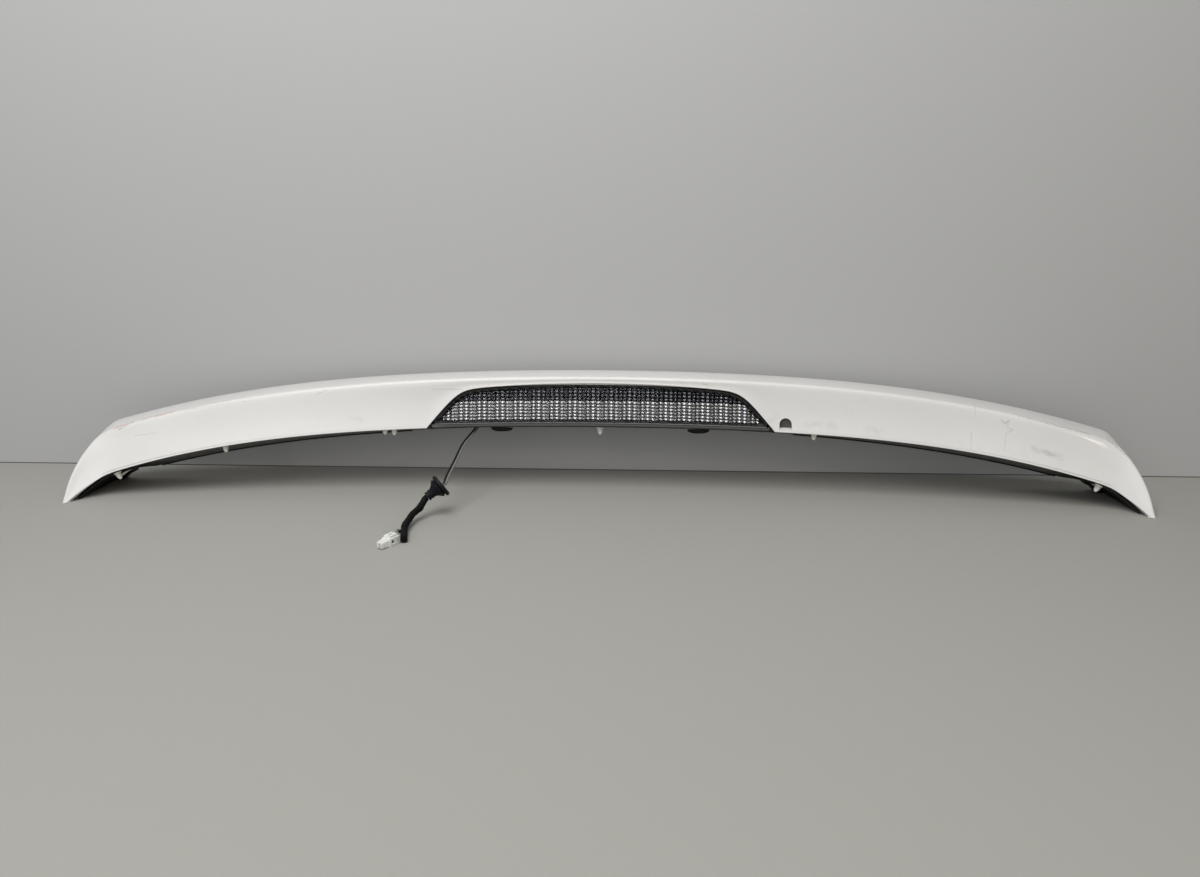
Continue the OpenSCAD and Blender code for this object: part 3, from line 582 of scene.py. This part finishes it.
# The face is eased round the corners, more so away from the crease
ease_rounds, face_from, face_to = 60, 20, len(skin_sections[0]) - 7
corner_span = [i for i, ((kind, value), side) in enumerate(stations)
               if kind == 1 or (kind == 0 and value > 0.9) or (kind == 2 and value < 0.5)]
for step in range(ease_rounds):
    before = [list(section) for section in skin_sections]
    for i in corner_span:
        for j in range(face_from, face_to):
            ease = min(1, (j - face_from + 1) / 4) * min(1, (face_to - j) / 3) * 0.5
            middle = (before[i - 1][j] + before[i + 1][j]) / 2
            skin_sections[i][j] = before[i][j].lerp(middle, ease)
skin_mesh = bent_grid(len(stations) - 1, len(skin_sections[0]) - 1,
                      lambda i, j: skin_sections[i][j])
skin_mesh.normal_update()
top_face = max(skin_mesh.faces, key=lambda f: f.calc_center_median().z)
if top_face.normal.z < 0:
    bmesh.ops.reverse_faces(skin_mesh, faces=skin_mesh.faces)
# The washer jet's hole is D-shaped: the sheet is cut along each side of the D, then the
# faces inside it are taken out
jet_x, jet_up, jet_radius, jet_flat = 221.5, 9.65, 7.25, 6.25
jet_z = low_z(jet_x) + jet_up
hole_ring = [(-jet_radius, -jet_flat), (jet_radius, -jet_flat)]
hole_ring += [(jet_radius * cos(pi * i / 16), jet_radius * sin(pi * i / 16)) for i in range(17)]
hole_ring = [Vector(((jet_x + x) / 1000, 0, (jet_z + z) / 1000)) for x, z in hole_ring]
hole_sides = [(p, Vector((0, 1, 0)).cross(q - p).normalized())
              for p, q in zip(hole_ring, hole_ring[1:] + hole_ring[:1])]
near_x, near_z, sheet_snap = 0.0095, 0.0085, 1e-7
for corner, outward in hole_sides:
    near_hole = [f for f in skin_mesh.faces
                 if abs(f.calc_center_median().x - jet_x / 1000) < near_x
                 and abs(f.calc_center_median().z - jet_z / 1000) < near_z]
    parts = {part for f in near_hole for part in (f, *f.edges, *f.verts)}
    bmesh.ops.bisect_plane(skin_mesh, geom=list(parts), plane_co=corner, plane_no=outward,
                           dist=sheet_snap)
bmesh.ops.delete(skin_mesh, context="FACES", geom=[
    f for f in skin_mesh.faces
    if all((f.calc_center_median() - corner).dot(outward) < 0 for corner, outward in hole_sides)])
skin_base = link_piece("skin_base", skin_mesh)
skin_wall = 0.0028
wall = skin_base.modifiers.new("wall", "SOLIDIFY")
wall.thickness, wall.offset = skin_wall, -1
bpy.context.view_layer.update()
skin_data = bpy.data.meshes.new_from_object(skin_base.evaluated_get(
    bpy.context.evaluated_depsgraph_get()))
bpy.data.objects.remove(skin_base)
skin_data.name = "painted_skin"
for point in skin_data.vertices:
    point.co.z = max(point.co.z, 0)
for face in skin_data.polygons:
    face.use_smooth = True
skin_data.set_sharp_from_angle(angle=radians(32))
skin = bpy.data.objects.new("painted_skin", skin_data)
scene.collection.objects.link(skin)
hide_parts("outer_skin")
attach(skin, "root")

# A mark's mask is strong along a line from one point to another across the paint,
# broken up by noise
mark_group, mark_in, mark_out = new_group("paint mark", [
    ("From", "Vector", (0, 0, 0)), ("To", "Vector", (0, 0, 0)), ("Width", "Float", 0.001),
    ("Ragged", "Float", 0.5), ("Breaks", "Float", 400)], [("Mask", "Float")])
spot = place_in(mark_group)
wander = noisy(mark_group, spot, 90, 2)["Color"]
shift = vector_maths(mark_group, "SUBTRACT", wander, (0.5, 0.5, 0.5))
shift_by = maths(mark_group, "MULTIPLY", mark_in["Width"], 1.2)
shifted = vector_maths(mark_group, "SCALE", shift, Scale=shift_by)
moved = vector_maths(mark_group, "ADD", spot, shifted)
# A mark is seen from the front, and ends a little way behind the crease's bow
crease_bow, past_allowed, past_share = 0.112, 0.011, 0.3
mark_axes = add_node(mark_group, "SeparateXYZ", {0: moved}).outputs
mark_square = maths(mark_group, "POWER", mark_axes["X"], 2.0)
from_bow = maths(mark_group, "MULTIPLY_ADD", mark_square, crease_bow, mark_axes["Y"])
past_crease = maths(mark_group, "SUBTRACT", from_bow, past_allowed)
behind = maths(mark_group, "MAXIMUM", past_crease, 0.0)
flat_spot = add_node(mark_group, "CombineXYZ", {
    "X": mark_axes["X"], "Y": maths(mark_group, "MULTIPLY", behind, past_share),
    "Z": mark_axes["Z"]}).outputs[0]
reach = vector_maths(mark_group, "SUBTRACT", flat_spot, mark_in["From"])
line = vector_maths(mark_group, "SUBTRACT", mark_in["To"], mark_in["From"])
over = vector_maths(mark_group, "DOT_PRODUCT", reach, line)
whole = vector_maths(mark_group, "DOT_PRODUCT", line, line)
share = maths(mark_group, "DIVIDE", over, whole, use_clamp=True)
foot = vector_maths(mark_group, "SCALE", line, Scale=share)
gap = vector_maths(mark_group, "DISTANCE", reach, foot)
near = remap(mark_group, gap, 0.0, mark_in["Width"], 1.0, 0.0, interpolation_type="SMOOTHSTEP")
breaks = noisy(mark_group, spot, mark_in["Breaks"], 4, 0.7)["Fac"]
even = add_node(mark_group, "Mix", {0: mark_in["Ragged"], 2: 1.0,
    3: remap(mark_group, breaks, 0.42, 0.58, 0.0, 1.0)}, data_type="FLOAT").outputs[0]
feed(mark_group, mark_out, {"Mask": maths(mark_group, "MULTIPLY", near, even)})

paint, paint_tree, paint_shader = new_material("pearl white paint", (0.59, 0.585, 0.57), 0.5,
    coat_weight=0.3, coat_roughness=0.07)
paint_spot = place_in(paint_tree)
cloud = noisy(paint_tree, paint_spot, 7, 4)["Fac"]
tint = blend(paint_tree, cloud, (0.565, 0.552, 0.53, 1), (0.615, 0.61, 0.595, 1))
flake = add_node(paint_tree, "TexVoronoi", {"Vector": paint_spot, "Scale": 2200}).outputs
sparkle = remap(paint_tree, flake["Distance"], 0.0, 0.5, 0.06, 0.0)
# Each mark: from x, z to x, z in millimetres, width, how ragged, its breaks, strength, colour
brown, grey_mark = (0.2, 0.13, 0.08), (0.12, 0.11, 0.1)
rust, ochre = (0.42, 0.2, 0.12), (0.5, 0.42, 0.2)
paint_marks = [
    ((-584, 77.5), (-561, 85), 1.8, 0.8, 330, 0.75, rust),
    ((-576, 77), (-566, 82), 1.0, 0.7, 380, 0.75, brown),
    ((-549, 88.5), (-534, 92.5), 1.4, 0.85, 400, 0.65, rust),
    ((-536, 91.5), (-512, 97.5), 1.7, 0.85, 400, 0.65, rust),
    ((-505, 99), (-420, 111), 0.8, 0.9, 260, 0.4, rust),
    ((203, 90), (212, 96), 5, 0.7, 150, 0.14, brown),
    ((246, 87), (262, 88), 6, 0.7, 140, 0.13, grey_mark),
    ((273, 86), (279, 85), 5, 0.7, 140, 0.12, grey_mark),
    ((316, 84), (334, 80), 7, 0.8, 140, 0.12, grey_mark),
    ((-300, 92), (-288, 88), 6, 0.9, 220, 0.14, brown),
    ((-557, 70), (-530, 73.8), 0.7, 0.6, 160, 0.35, grey_mark),
    ((-342, 117), (-328, 123), 0.9, 1.0, 500, 0.5, brown),
    ((-202, 123.6), (-165, 123.7), 0.5, 0.3, 200, 0.5, grey_mark),
    ((92, 136), (101, 133), 0.9, 1.0, 600, 0.5, grey_mark),
    ((123, 132.5), (128, 132.2), 1.6, 0.8, 400, 0.4, grey_mark),
    ((4, 134.5), (24, 134.5), 2.5, 0.6, 120, 0.25, ochre),
    ((439, 112), (438.3, 100), 0.6, 0.6, 300, 0.6, grey_mark),
    ((434.5, 82), (433.4, 64), 0.6, 0.85, 300, 0.5, grey_mark),
    ((468, 97.5), (471, 94), 1.3, 0.95, 800, 0.5, grey_mark),
    ((472, 94), (477, 97.5), 1.5, 0.95, 800, 0.5, grey_mark),
    ((475.5, 95), (475, 89), 1.2, 0.95, 700, 0.45, brown),
    ((476, 89), (480, 86.5), 1.6, 0.95, 800, 0.45, grey_mark),
    ((479, 85), (474, 83.5), 1.6, 0.95, 800, 0.4, brown),
    ((474, 84), (470, 62), 0.6, 0.85, 330, 0.45, grey_mark),
    ((504, 66), (534, 58), 6, 0.85, 120, 0.2, grey_mark),
    ((514, 64), (529, 59), 3.5, 0.85, 180, 0.16, grey_mark),
    ((488, 102), (520, 94.5), 0.9, 0.9, 330, 0.4, brown),
    ((518, 95), (568, 83), 1.4, 0.9, 280, 0.5, brown),
    ((588, 77), (606, 61), 1.6, 0.85, 300, 0.45, brown),
]
colour, worn = blend(paint_tree, sparkle, tint, (0.95, 0.93, 0.9, 1)), None
for (x0, z0), (x1, z1), width, ragged, breaks_at, strong, tone in paint_marks:
    mark = add_node(paint_tree, "Group", {
        "From": (x0 / 1000, 0, z0 / 1000), "To": (x1 / 1000, 0, z1 / 1000),
        "Width": width / 1000, "Ragged": ragged, "Breaks": breaks_at}, node_tree=mark_group)
    faded = maths(paint_tree, "MULTIPLY", mark.outputs["Mask"], strong)
    colour = blend(paint_tree, faded, colour, (*tone, 1))
    worn = faded if worn is None else maths(paint_tree, "MAXIMUM", worn, faded)
grime = noisy(paint_tree, paint_spot, 60, 8, 0.65)["Fac"]
film = remap(paint_tree, grime, 0.55, 0.8, 0.0, 0.12)
peel = noisy(paint_tree, paint_spot, 220, 2)["Fac"]
relief = add_node(paint_tree, "Bump", {"Height": peel, "Strength": 0.03, "Distance": 0.0005})
feed(paint_tree, paint_shader, {
    "Base Color": blend(paint_tree, film, colour, (0.4, 0.36, 0.3, 1)),
    "Roughness": remap(paint_tree, worn, 0, 1, 0.5, 0.75),
    "Coat Weight": remap(paint_tree, worn, 0, 1, 0.3, 0.05),
    "Normal": relief.outputs["Normal"]})
skin_data.materials.clear()
skin_data.materials.append(paint)

# Inner panel
# The dark grey moulding that closes the shell from behind and below. It is bonded inside
# the skin's edges, and carries the studs, the clips and the lead's exit.
panel_plastic = moulded_material("dark grey panel plastic", (0.038, 0.039, 0.037),
    (0.07, 0.071, 0.068), (0.5, 0.68), patch=14, grain=1300, bump=0.3, specular_ior_level=0.3)
# A place's height is taken from the line of the low edge, which falls, with x in metres, by
# x squared times the first value and x to the fourth times the second
square_fall, fourth_fall = 0.041, 0.324
edge_group, _, edge_out = new_group("edge line", [], [("Height", "Float"), ("Aside", "Float")])
edge_axes = add_node(edge_group, "SeparateXYZ", {0: place_in(edge_group)}).outputs
edge_square = maths(edge_group, "POWER", edge_axes["X"], 2.0)
edge_rate = maths(edge_group, "MULTIPLY_ADD", edge_square, fourth_fall, square_fall)
edge_fall = maths(edge_group, "MULTIPLY", edge_square, edge_rate)
feed(edge_group, edge_out, {"Height": maths(edge_group, "ADD", edge_axes["Z"], edge_fall),
                            "Aside": maths(edge_group, "ABSOLUTE", edge_axes["X"])})


def retone(material, change):
    """Puts change between the material's tone and its shader."""
    tree = material.node_tree
    shader = tree.nodes["Principled BSDF"]
    tone = shader.inputs["Base Color"].links[0].from_socket
    edge = add_node(tree, "Group", node_tree=edge_group).outputs
    feed(tree, shader, {"Base Color": change(tree, tone, edge["Height"], edge["Aside"])})


# It is darker along the edge under the lamp, painted shade blackens it towards both ends,
# and painted light lifts its underside between the lamp and the ends
def panel_tone(tree, tone, height, aside):
    line = remap(tree, height, 0.0805, 0.0814, 0.02, 1.0)
    past_lamp = remap(tree, aside, 0.215, 0.235, 0.0, 1.0)
    painted_lift = remap(tree, aside, 0.22, 0.26, 1.15, 3.0)
    end_shade = remap(tree, aside, 0.535, 0.56, 1.0, 0.12)
    edge_and_lift = maths(tree, "MULTIPLY", maths(tree, "MAXIMUM", line, past_lamp), painted_lift)
    return vector_maths(tree, "SCALE", tone, Scale=maths(tree, "MULTIPLY", edge_and_lift, end_shade))


retone(panel_plastic, panel_tone)
inner_panel = rounded_copy("grey_inner_panel", "inner_panel", panel_plastic,
                           smooth=34)
# A short tower on the panel stands behind the jet's hole and closes it from inside
tower_radius, tower_front, tower_length, tower_down = 0.0085, -0.0035, 0.0545, 0.4
tower = bmesh.new()
tower.from_mesh(inner_panel.data)
ring = [tower.verts.new((jet_x / 1000 + tower_radius * cos(pi * i / 16), tower_front,
                         (jet_z - tower_down) / 1000 + tower_radius * sin(pi * i / 16)))
        for i in range(32)]
drawn = bmesh.ops.extrude_face_region(tower, geom=[tower.faces.new(ring)], use_keep_orig=True)
bmesh.ops.translate(tower, vec=(0, tower_length, 0),
                    verts=[v for v in drawn["geom"] if isinstance(v, bmesh.types.BMVert)])
bmesh.ops.recalc_face_normals(tower, faces=tower.faces)
for face in tower.faces:
    face.smooth = True
tower.to_mesh(inner_panel.data)
tower.free()
inner_panel.data.set_sharp_from_angle(angle=radians(34))

# Straps, edging, bumpers and seals
# Small black fittings: two straps under the end walls, rubber edging along the panel's
# foot, two rubber pads under the lamp and foam where the lamp and studs seal.
black_plastic = moulded_material("black plastic", (0.003, 0.003, 0.003), (0.009, 0.009, 0.009),
    (0.4, 0.55), patch=40, grain=1500, bump=0.15, specular_ior_level=0.25)
black_rubber = moulded_material("black rubber", (0.005, 0.005, 0.005), (0.014, 0.014, 0.014),
    (0.55, 0.75), patch=60, grain=1800, bump=0.2, specular_ior_level=0.12)
black_foam = moulded_material("black foam", (0.01, 0.01, 0.01), (0.03, 0.03, 0.03),
    (0.85, 0.95), patch=200, grain=2600, bump=0.8)
pad_long, pad_deep, pad_below, pad_above = 0.0135, 0.0048, 0.0046, 0.0006
pad_y, pad_z, pad_lean = 0.00169, 0.0764, -12.7
for side in ("left", "right"):
    rounded_copy(side + "_strap", side + "_end_bracket", black_plastic, 0.0003)
    rounded_copy(side + "_edging", side + "_edge_seal", black_rubber, smooth=70)
    low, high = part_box(side + "_bumper")
    pad_mesh = bmesh.new()
    bmesh.ops.create_uvsphere(pad_mesh, u_segments=40, v_segments=20, radius=1)
    for point in pad_mesh.verts:
        x, y, z = point.co
        point.co = (copysign(abs(x) ** 0.75, x) * pad_long, copysign(abs(y) ** 0.85, y) * pad_deep,
                    z * (pad_below if z < 0 else pad_above))
    pad_mesh.transform(Matrix.Translation(((low.x + high.x) / 2, pad_y, pad_z))
                       @ Matrix.Rotation(radians(pad_lean), 4, "X"))
    pad = link_piece(side + "_pad", pad_mesh, black_rubber, 40)
    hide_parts(side + "_bumper")
    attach(pad, "root")
rounded_copy("lamp_seal", "lamp_gasket", black_foam)
rounded_copy("washers", "stud_washers", black_foam)

# Stop lamp housing
# A black moulded tray whose rim is the border round the lens. It is held to the skin's
# bosses by two screws.
tray_plastic = moulded_material("tray plastic", (0.003, 0.003, 0.003), (0.009, 0.009, 0.009),
    (0.45, 0.6), patch=40, grain=1500, bump=0.15, specular_ior_level=0.25)


# Its lower bar is worn grey below the line of the lens
def tray_tone(tree, tone, height, _):
    return blend(tree, remap(tree, height, 0.0846, 0.0850, 1.0, 0.0), tone,
                 (0.14, 0.143, 0.135, 1))


retone(tray_plastic, tray_tone)
rounded_copy("lamp_tray", "lamp_housing", tray_plastic, smooth=34)
for node, dark, light, rough, metal in (
        ("lamp_screws", (0.42, 0.42, 0.41), (0.58, 0.58, 0.56), (0.25, 0.4), 1.0),
        ("mounting_studs", (0.5, 0.46, 0.34), (0.68, 0.64, 0.52), (0.28, 0.42), 1.0),
        ("lamp_board", (0.02, 0.09, 0.04), (0.035, 0.14, 0.065), (0.35, 0.5), 0.0),
        ("lamp_emitters", (0.4, 0.06, 0.04), (0.55, 0.1, 0.06), (0.2, 0.3), 0.0)):
    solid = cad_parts[node]
    solid.data.materials.clear()
    solid.data.materials.append(moulded_material(node.replace("_", " ") + " finish", dark, light,
        rough, patch=150, grain=1600, bump=0.1, metallic=metal))

# Lamp reflector
# A silvered moulding behind the lens: a tall lower band of bright pillows and an upper band
# darkened with painted shade, both in shallow bowls, one for each light emitter.
columns_per_bowl, bowl_pitch, bowls, bowl_depth = 4, 22, 16, 2.2
sheet_half, sheet_foot, sheet_inset = 201, 7, 5.6


def lamp_sheet(name, z_from, z_to, rows, proud, depth, material):
    per_x, per_z = 6, 5
    columns = columns_per_bowl * (bowls + 3)
    half = columns * bowl_pitch / columns_per_bowl / 2

    def put(i, j):
        x = max(-sheet_half, min(sheet_half, mix(-half, half, i / (columns * per_x))))
        z = mix(z_from, z_to, j / (rows * per_z)) + low_z(x) - low_top
        roof = max(low_z(x) + sheet_foot, opening_z(x, sheet_inset))
        z = max(low_z(x) + sheet_foot - 0.1, min(z, roof))
        u, v = (i % per_x) / per_x * 2 - 1, (j % per_z) / per_z * 2 - 1
        bowl = ((x / bowl_pitch) % 1) * 2 - 1
        pillow = proud * (1 - 0.5 * (u * u + v * v))
        return in_metres(Vector((x, face_y(x, z) + depth - bowl_depth * bowl * bowl - pillow, z)))

    mesh = bent_grid(columns * per_x, rows * per_z, put)
    layer = mesh.loops.layers.uv.new("pillows")
    for face in mesh.faces:
        for loop in face.loops:
            p = loop.vert.co * 1000
            loop[layer].uv = ((p.x + half) / (bowl_pitch / columns_per_bowl),
                              (p.z - low_z(p.x) + low_top - z_from) / (z_to - z_from) * rows)
    bmesh.ops.dissolve_degenerate(mesh, dist=5e-6, edges=mesh.edges)
    mesh.normal_update()
    if sum(f.normal.y for f in mesh.faces) > 0:
        bmesh.ops.reverse_faces(mesh, faces=mesh.faces)
    piece = link_piece(name, mesh, material, 60)
    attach(piece, "root")
    return piece


# Each pillow's colour darkens from its middle to its edge: painted shade in the grooves between
# the pillows
def silver_material(name, dark, bright, roughness):
    made, tree, shader = new_material(name, bright, roughness, metallic=1.0)
    pillow_place = add_node(tree, "UVMap", uv_map="pillows").outputs["UV"]
    inside = vector_maths(tree, "FRACTION", pillow_place)
    centred = vector_maths(tree, "SUBTRACT", inside, (0.5, 0.5, 0.5))
    far = vector_maths(tree, "LENGTH", vector_maths(tree, "MULTIPLY", centred, (1, 1, 0)))
    unshaded_core = remap(tree, far, 0.1, 0.45, 1.0, 0.0, interpolation_type="SMOOTHSTEP")
    feed(tree, shader, {"Base Color": blend(tree, unshaded_core, (*dark, 1), (*bright, 1))})
    return made


lower_band = lamp_sheet("reflector_lower_band", 86.4, 109.4, 6, 1.4, 7.5, silver_material(
    "bright silvering", (0.09, 0.091, 0.092), (0.55, 0.56, 0.56), 0.26))
# The upper band's silvering is darkened with painted shade, for the dark housing reflected in it
lamp_sheet("reflector_upper_band", 109.6, 126.4, 4, 1.0, 8.5, silver_material(
    "silvering in painted shade", (0.003, 0.003, 0.005), (0.17, 0.175, 0.19), 0.22))
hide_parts("lamp_reflector")

# Clear lens
# A thick clear moulding set into the housing's rim, smooth outside. It follows the lean
# and sweep of the painted face.
lens_plastic, lens_tree, lens_shader = new_material("clear lens plastic", (0.9, 0.92, 0.93), 0.05,
    alpha=0.15, ior=1.49, transmission_weight=1.0)
haze = noisy(lens_tree, place_in(lens_tree), 50, 6)["Fac"]
feed(lens_tree, lens_shader, {"Roughness": remap(lens_tree, haze, 0, 1, 0.03, 0.14)})
rounded_copy("clear_lens", "lamp_lens", lens_plastic, smooth=20)

# Retaining clips
# Natural nylon push-in clips under the lower edge. Each has a round head against the
# panel and a barbed stem that hangs down.
clip_nylon = moulded_material("natural nylon", (0.74, 0.73, 0.67), (0.85, 0.84, 0.79), (0.35, 0.5),
    patch=180, grain=1500, bump=0.1)
# Radius and depth below the panel in millimetres
clip_profile = [(0, 0), (3.9, 0), (4.5, 0.3), (4.5, 1.1), (4.1, 1.5), (3.3, 1.7), (2.9, 2.2),
                (3.5, 3.0), (3.55, 3.4), (3.3, 4.1), (2.7, 4.7), (3.1, 5.4), (3.1, 5.8),
                (2.5, 6.9), (2, 7.6), (1.7, 8.5), (1.2, 8.9), (0, 9)]
# Each clip's place on the panel in millimetres, and the way its stem points
clip_places = [((-454.95, -16.86, 55.61), (0.1879, -0.3109, -0.9317)),
               ((-263.4, 3.85, 75.05), (0.0674, -0.3155, -0.9465)),
               ((-251.98, 4.24, 74.1), (0.0644, -0.3145, -0.9471)),
               ((0, 13.78, 75.52), (0, -0.2099, -0.9777)),
               ((257.98, 3.79, 73.83), (-0.0668, -0.3154, -0.9466)),
               ((579.65, -40.28, 25.97), (-0.4902, -0.1377, -0.8607)),
               ((-579.65, -40.28, 25.97), (0.4902, -0.1377, -0.8607))]
clips_mesh = bmesh.new()
for place_at, axis in clip_places:
    one_clip = turned([(r / 1000, h / 1000) for r, h in clip_profile], 32, False)
    one_clip.transform(along_axis(Vector(place_at) / 1000, Vector(axis)))
    held = bpy.data.meshes.new("one clip")
    one_clip.to_mesh(held)
    one_clip.free()
    clips_mesh.from_mesh(held)
    bpy.data.meshes.remove(held)
clips = link_piece("nylon_clips", clips_mesh, clip_nylon, 50)
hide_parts("retaining_clips")
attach(clips, "root")

# Floor, wall and light
# The part stands on a plain pale floor in front of a plain wall, under a broad soft lamp. A
# broad one stands low in front of it, more to the left, and a small warm one at the right.
room_half, room_front, wall_top, wall_y = 4, -3, 3, 0.087
joint_y, joint_top = wall_y - 0.0002, 0.0012
for name, colour, (y0, z0), (y1, z1) in (
        ("floor", (0.285, 0.28, 0.255), (room_front, 0), (wall_y, 0)),
        ("joint", (0.07, 0.07, 0.065), (joint_y, 0), (joint_y, joint_top)),
        ("wall", (0.385, 0.385, 0.38), (wall_y, 0), (wall_y, wall_top))):
    board, board_tree, board_shader = new_material("painted " + name, colour, 0.75)
    # From behind or below, the boards are seen through
    shown = add_node(board_tree, "MixShader", {
        0: add_node(board_tree, "NewGeometry").outputs["Backfacing"],
        1: board_shader.outputs[0], 2: add_node(board_tree, "BsdfTransparent").outputs[0]})
    feed(board_tree, board_tree.nodes["Material Output"], {"Surface": shown.outputs[0]})
    plane = bmesh.new()
    plane.faces.new([plane.verts.new(c) for c in (
        (-room_half, y0, z0), (room_half, y0, z0), (room_half, y1, z1), (-room_half, y1, z1))])
    link_piece(name, plane, board)
scene.world = bpy.data.worlds.new("room")
scene.world.use_nodes = True
room = scene.world.node_tree.nodes["Background"]
room.inputs["Color"].default_value = (0.93, 0.95, 1.0, 1)
room.inputs["Strength"].default_value = 0.33
# Each lamp: where it is, what it faces, its watts, its colour and its size
for name, at, aim, power, tone, size in (
        ("left lamp", (-0.7, -2.2, 1.15), (-0.1, 0, 0.1), 19.5, (1.0, 0.98, 0.97), 1.7),
        ("right lamp", (1.4, -1.55, 1.0), (0.0, 0, 0.1), 3, (1.0, 0.88, 0.66), 0.22),
        ("ceiling lamp", (-0.35, -0.85, 1.75), (-0.1, 0, 0), 31, (1.0, 1.0, 1.0), 1.3)):
    lamp = bpy.data.lights.new(name, "AREA")
    lamp.shape, lamp.size, lamp.energy, lamp.color = "SQUARE", size, power, tone
    holder = bpy.data.objects.new(name, lamp)
    scene.collection.objects.link(holder)
    holder.location = at
    holder.rotation_euler = (Vector(aim) - Vector(at)).to_track_quat("-Z", "Y").to_euler()
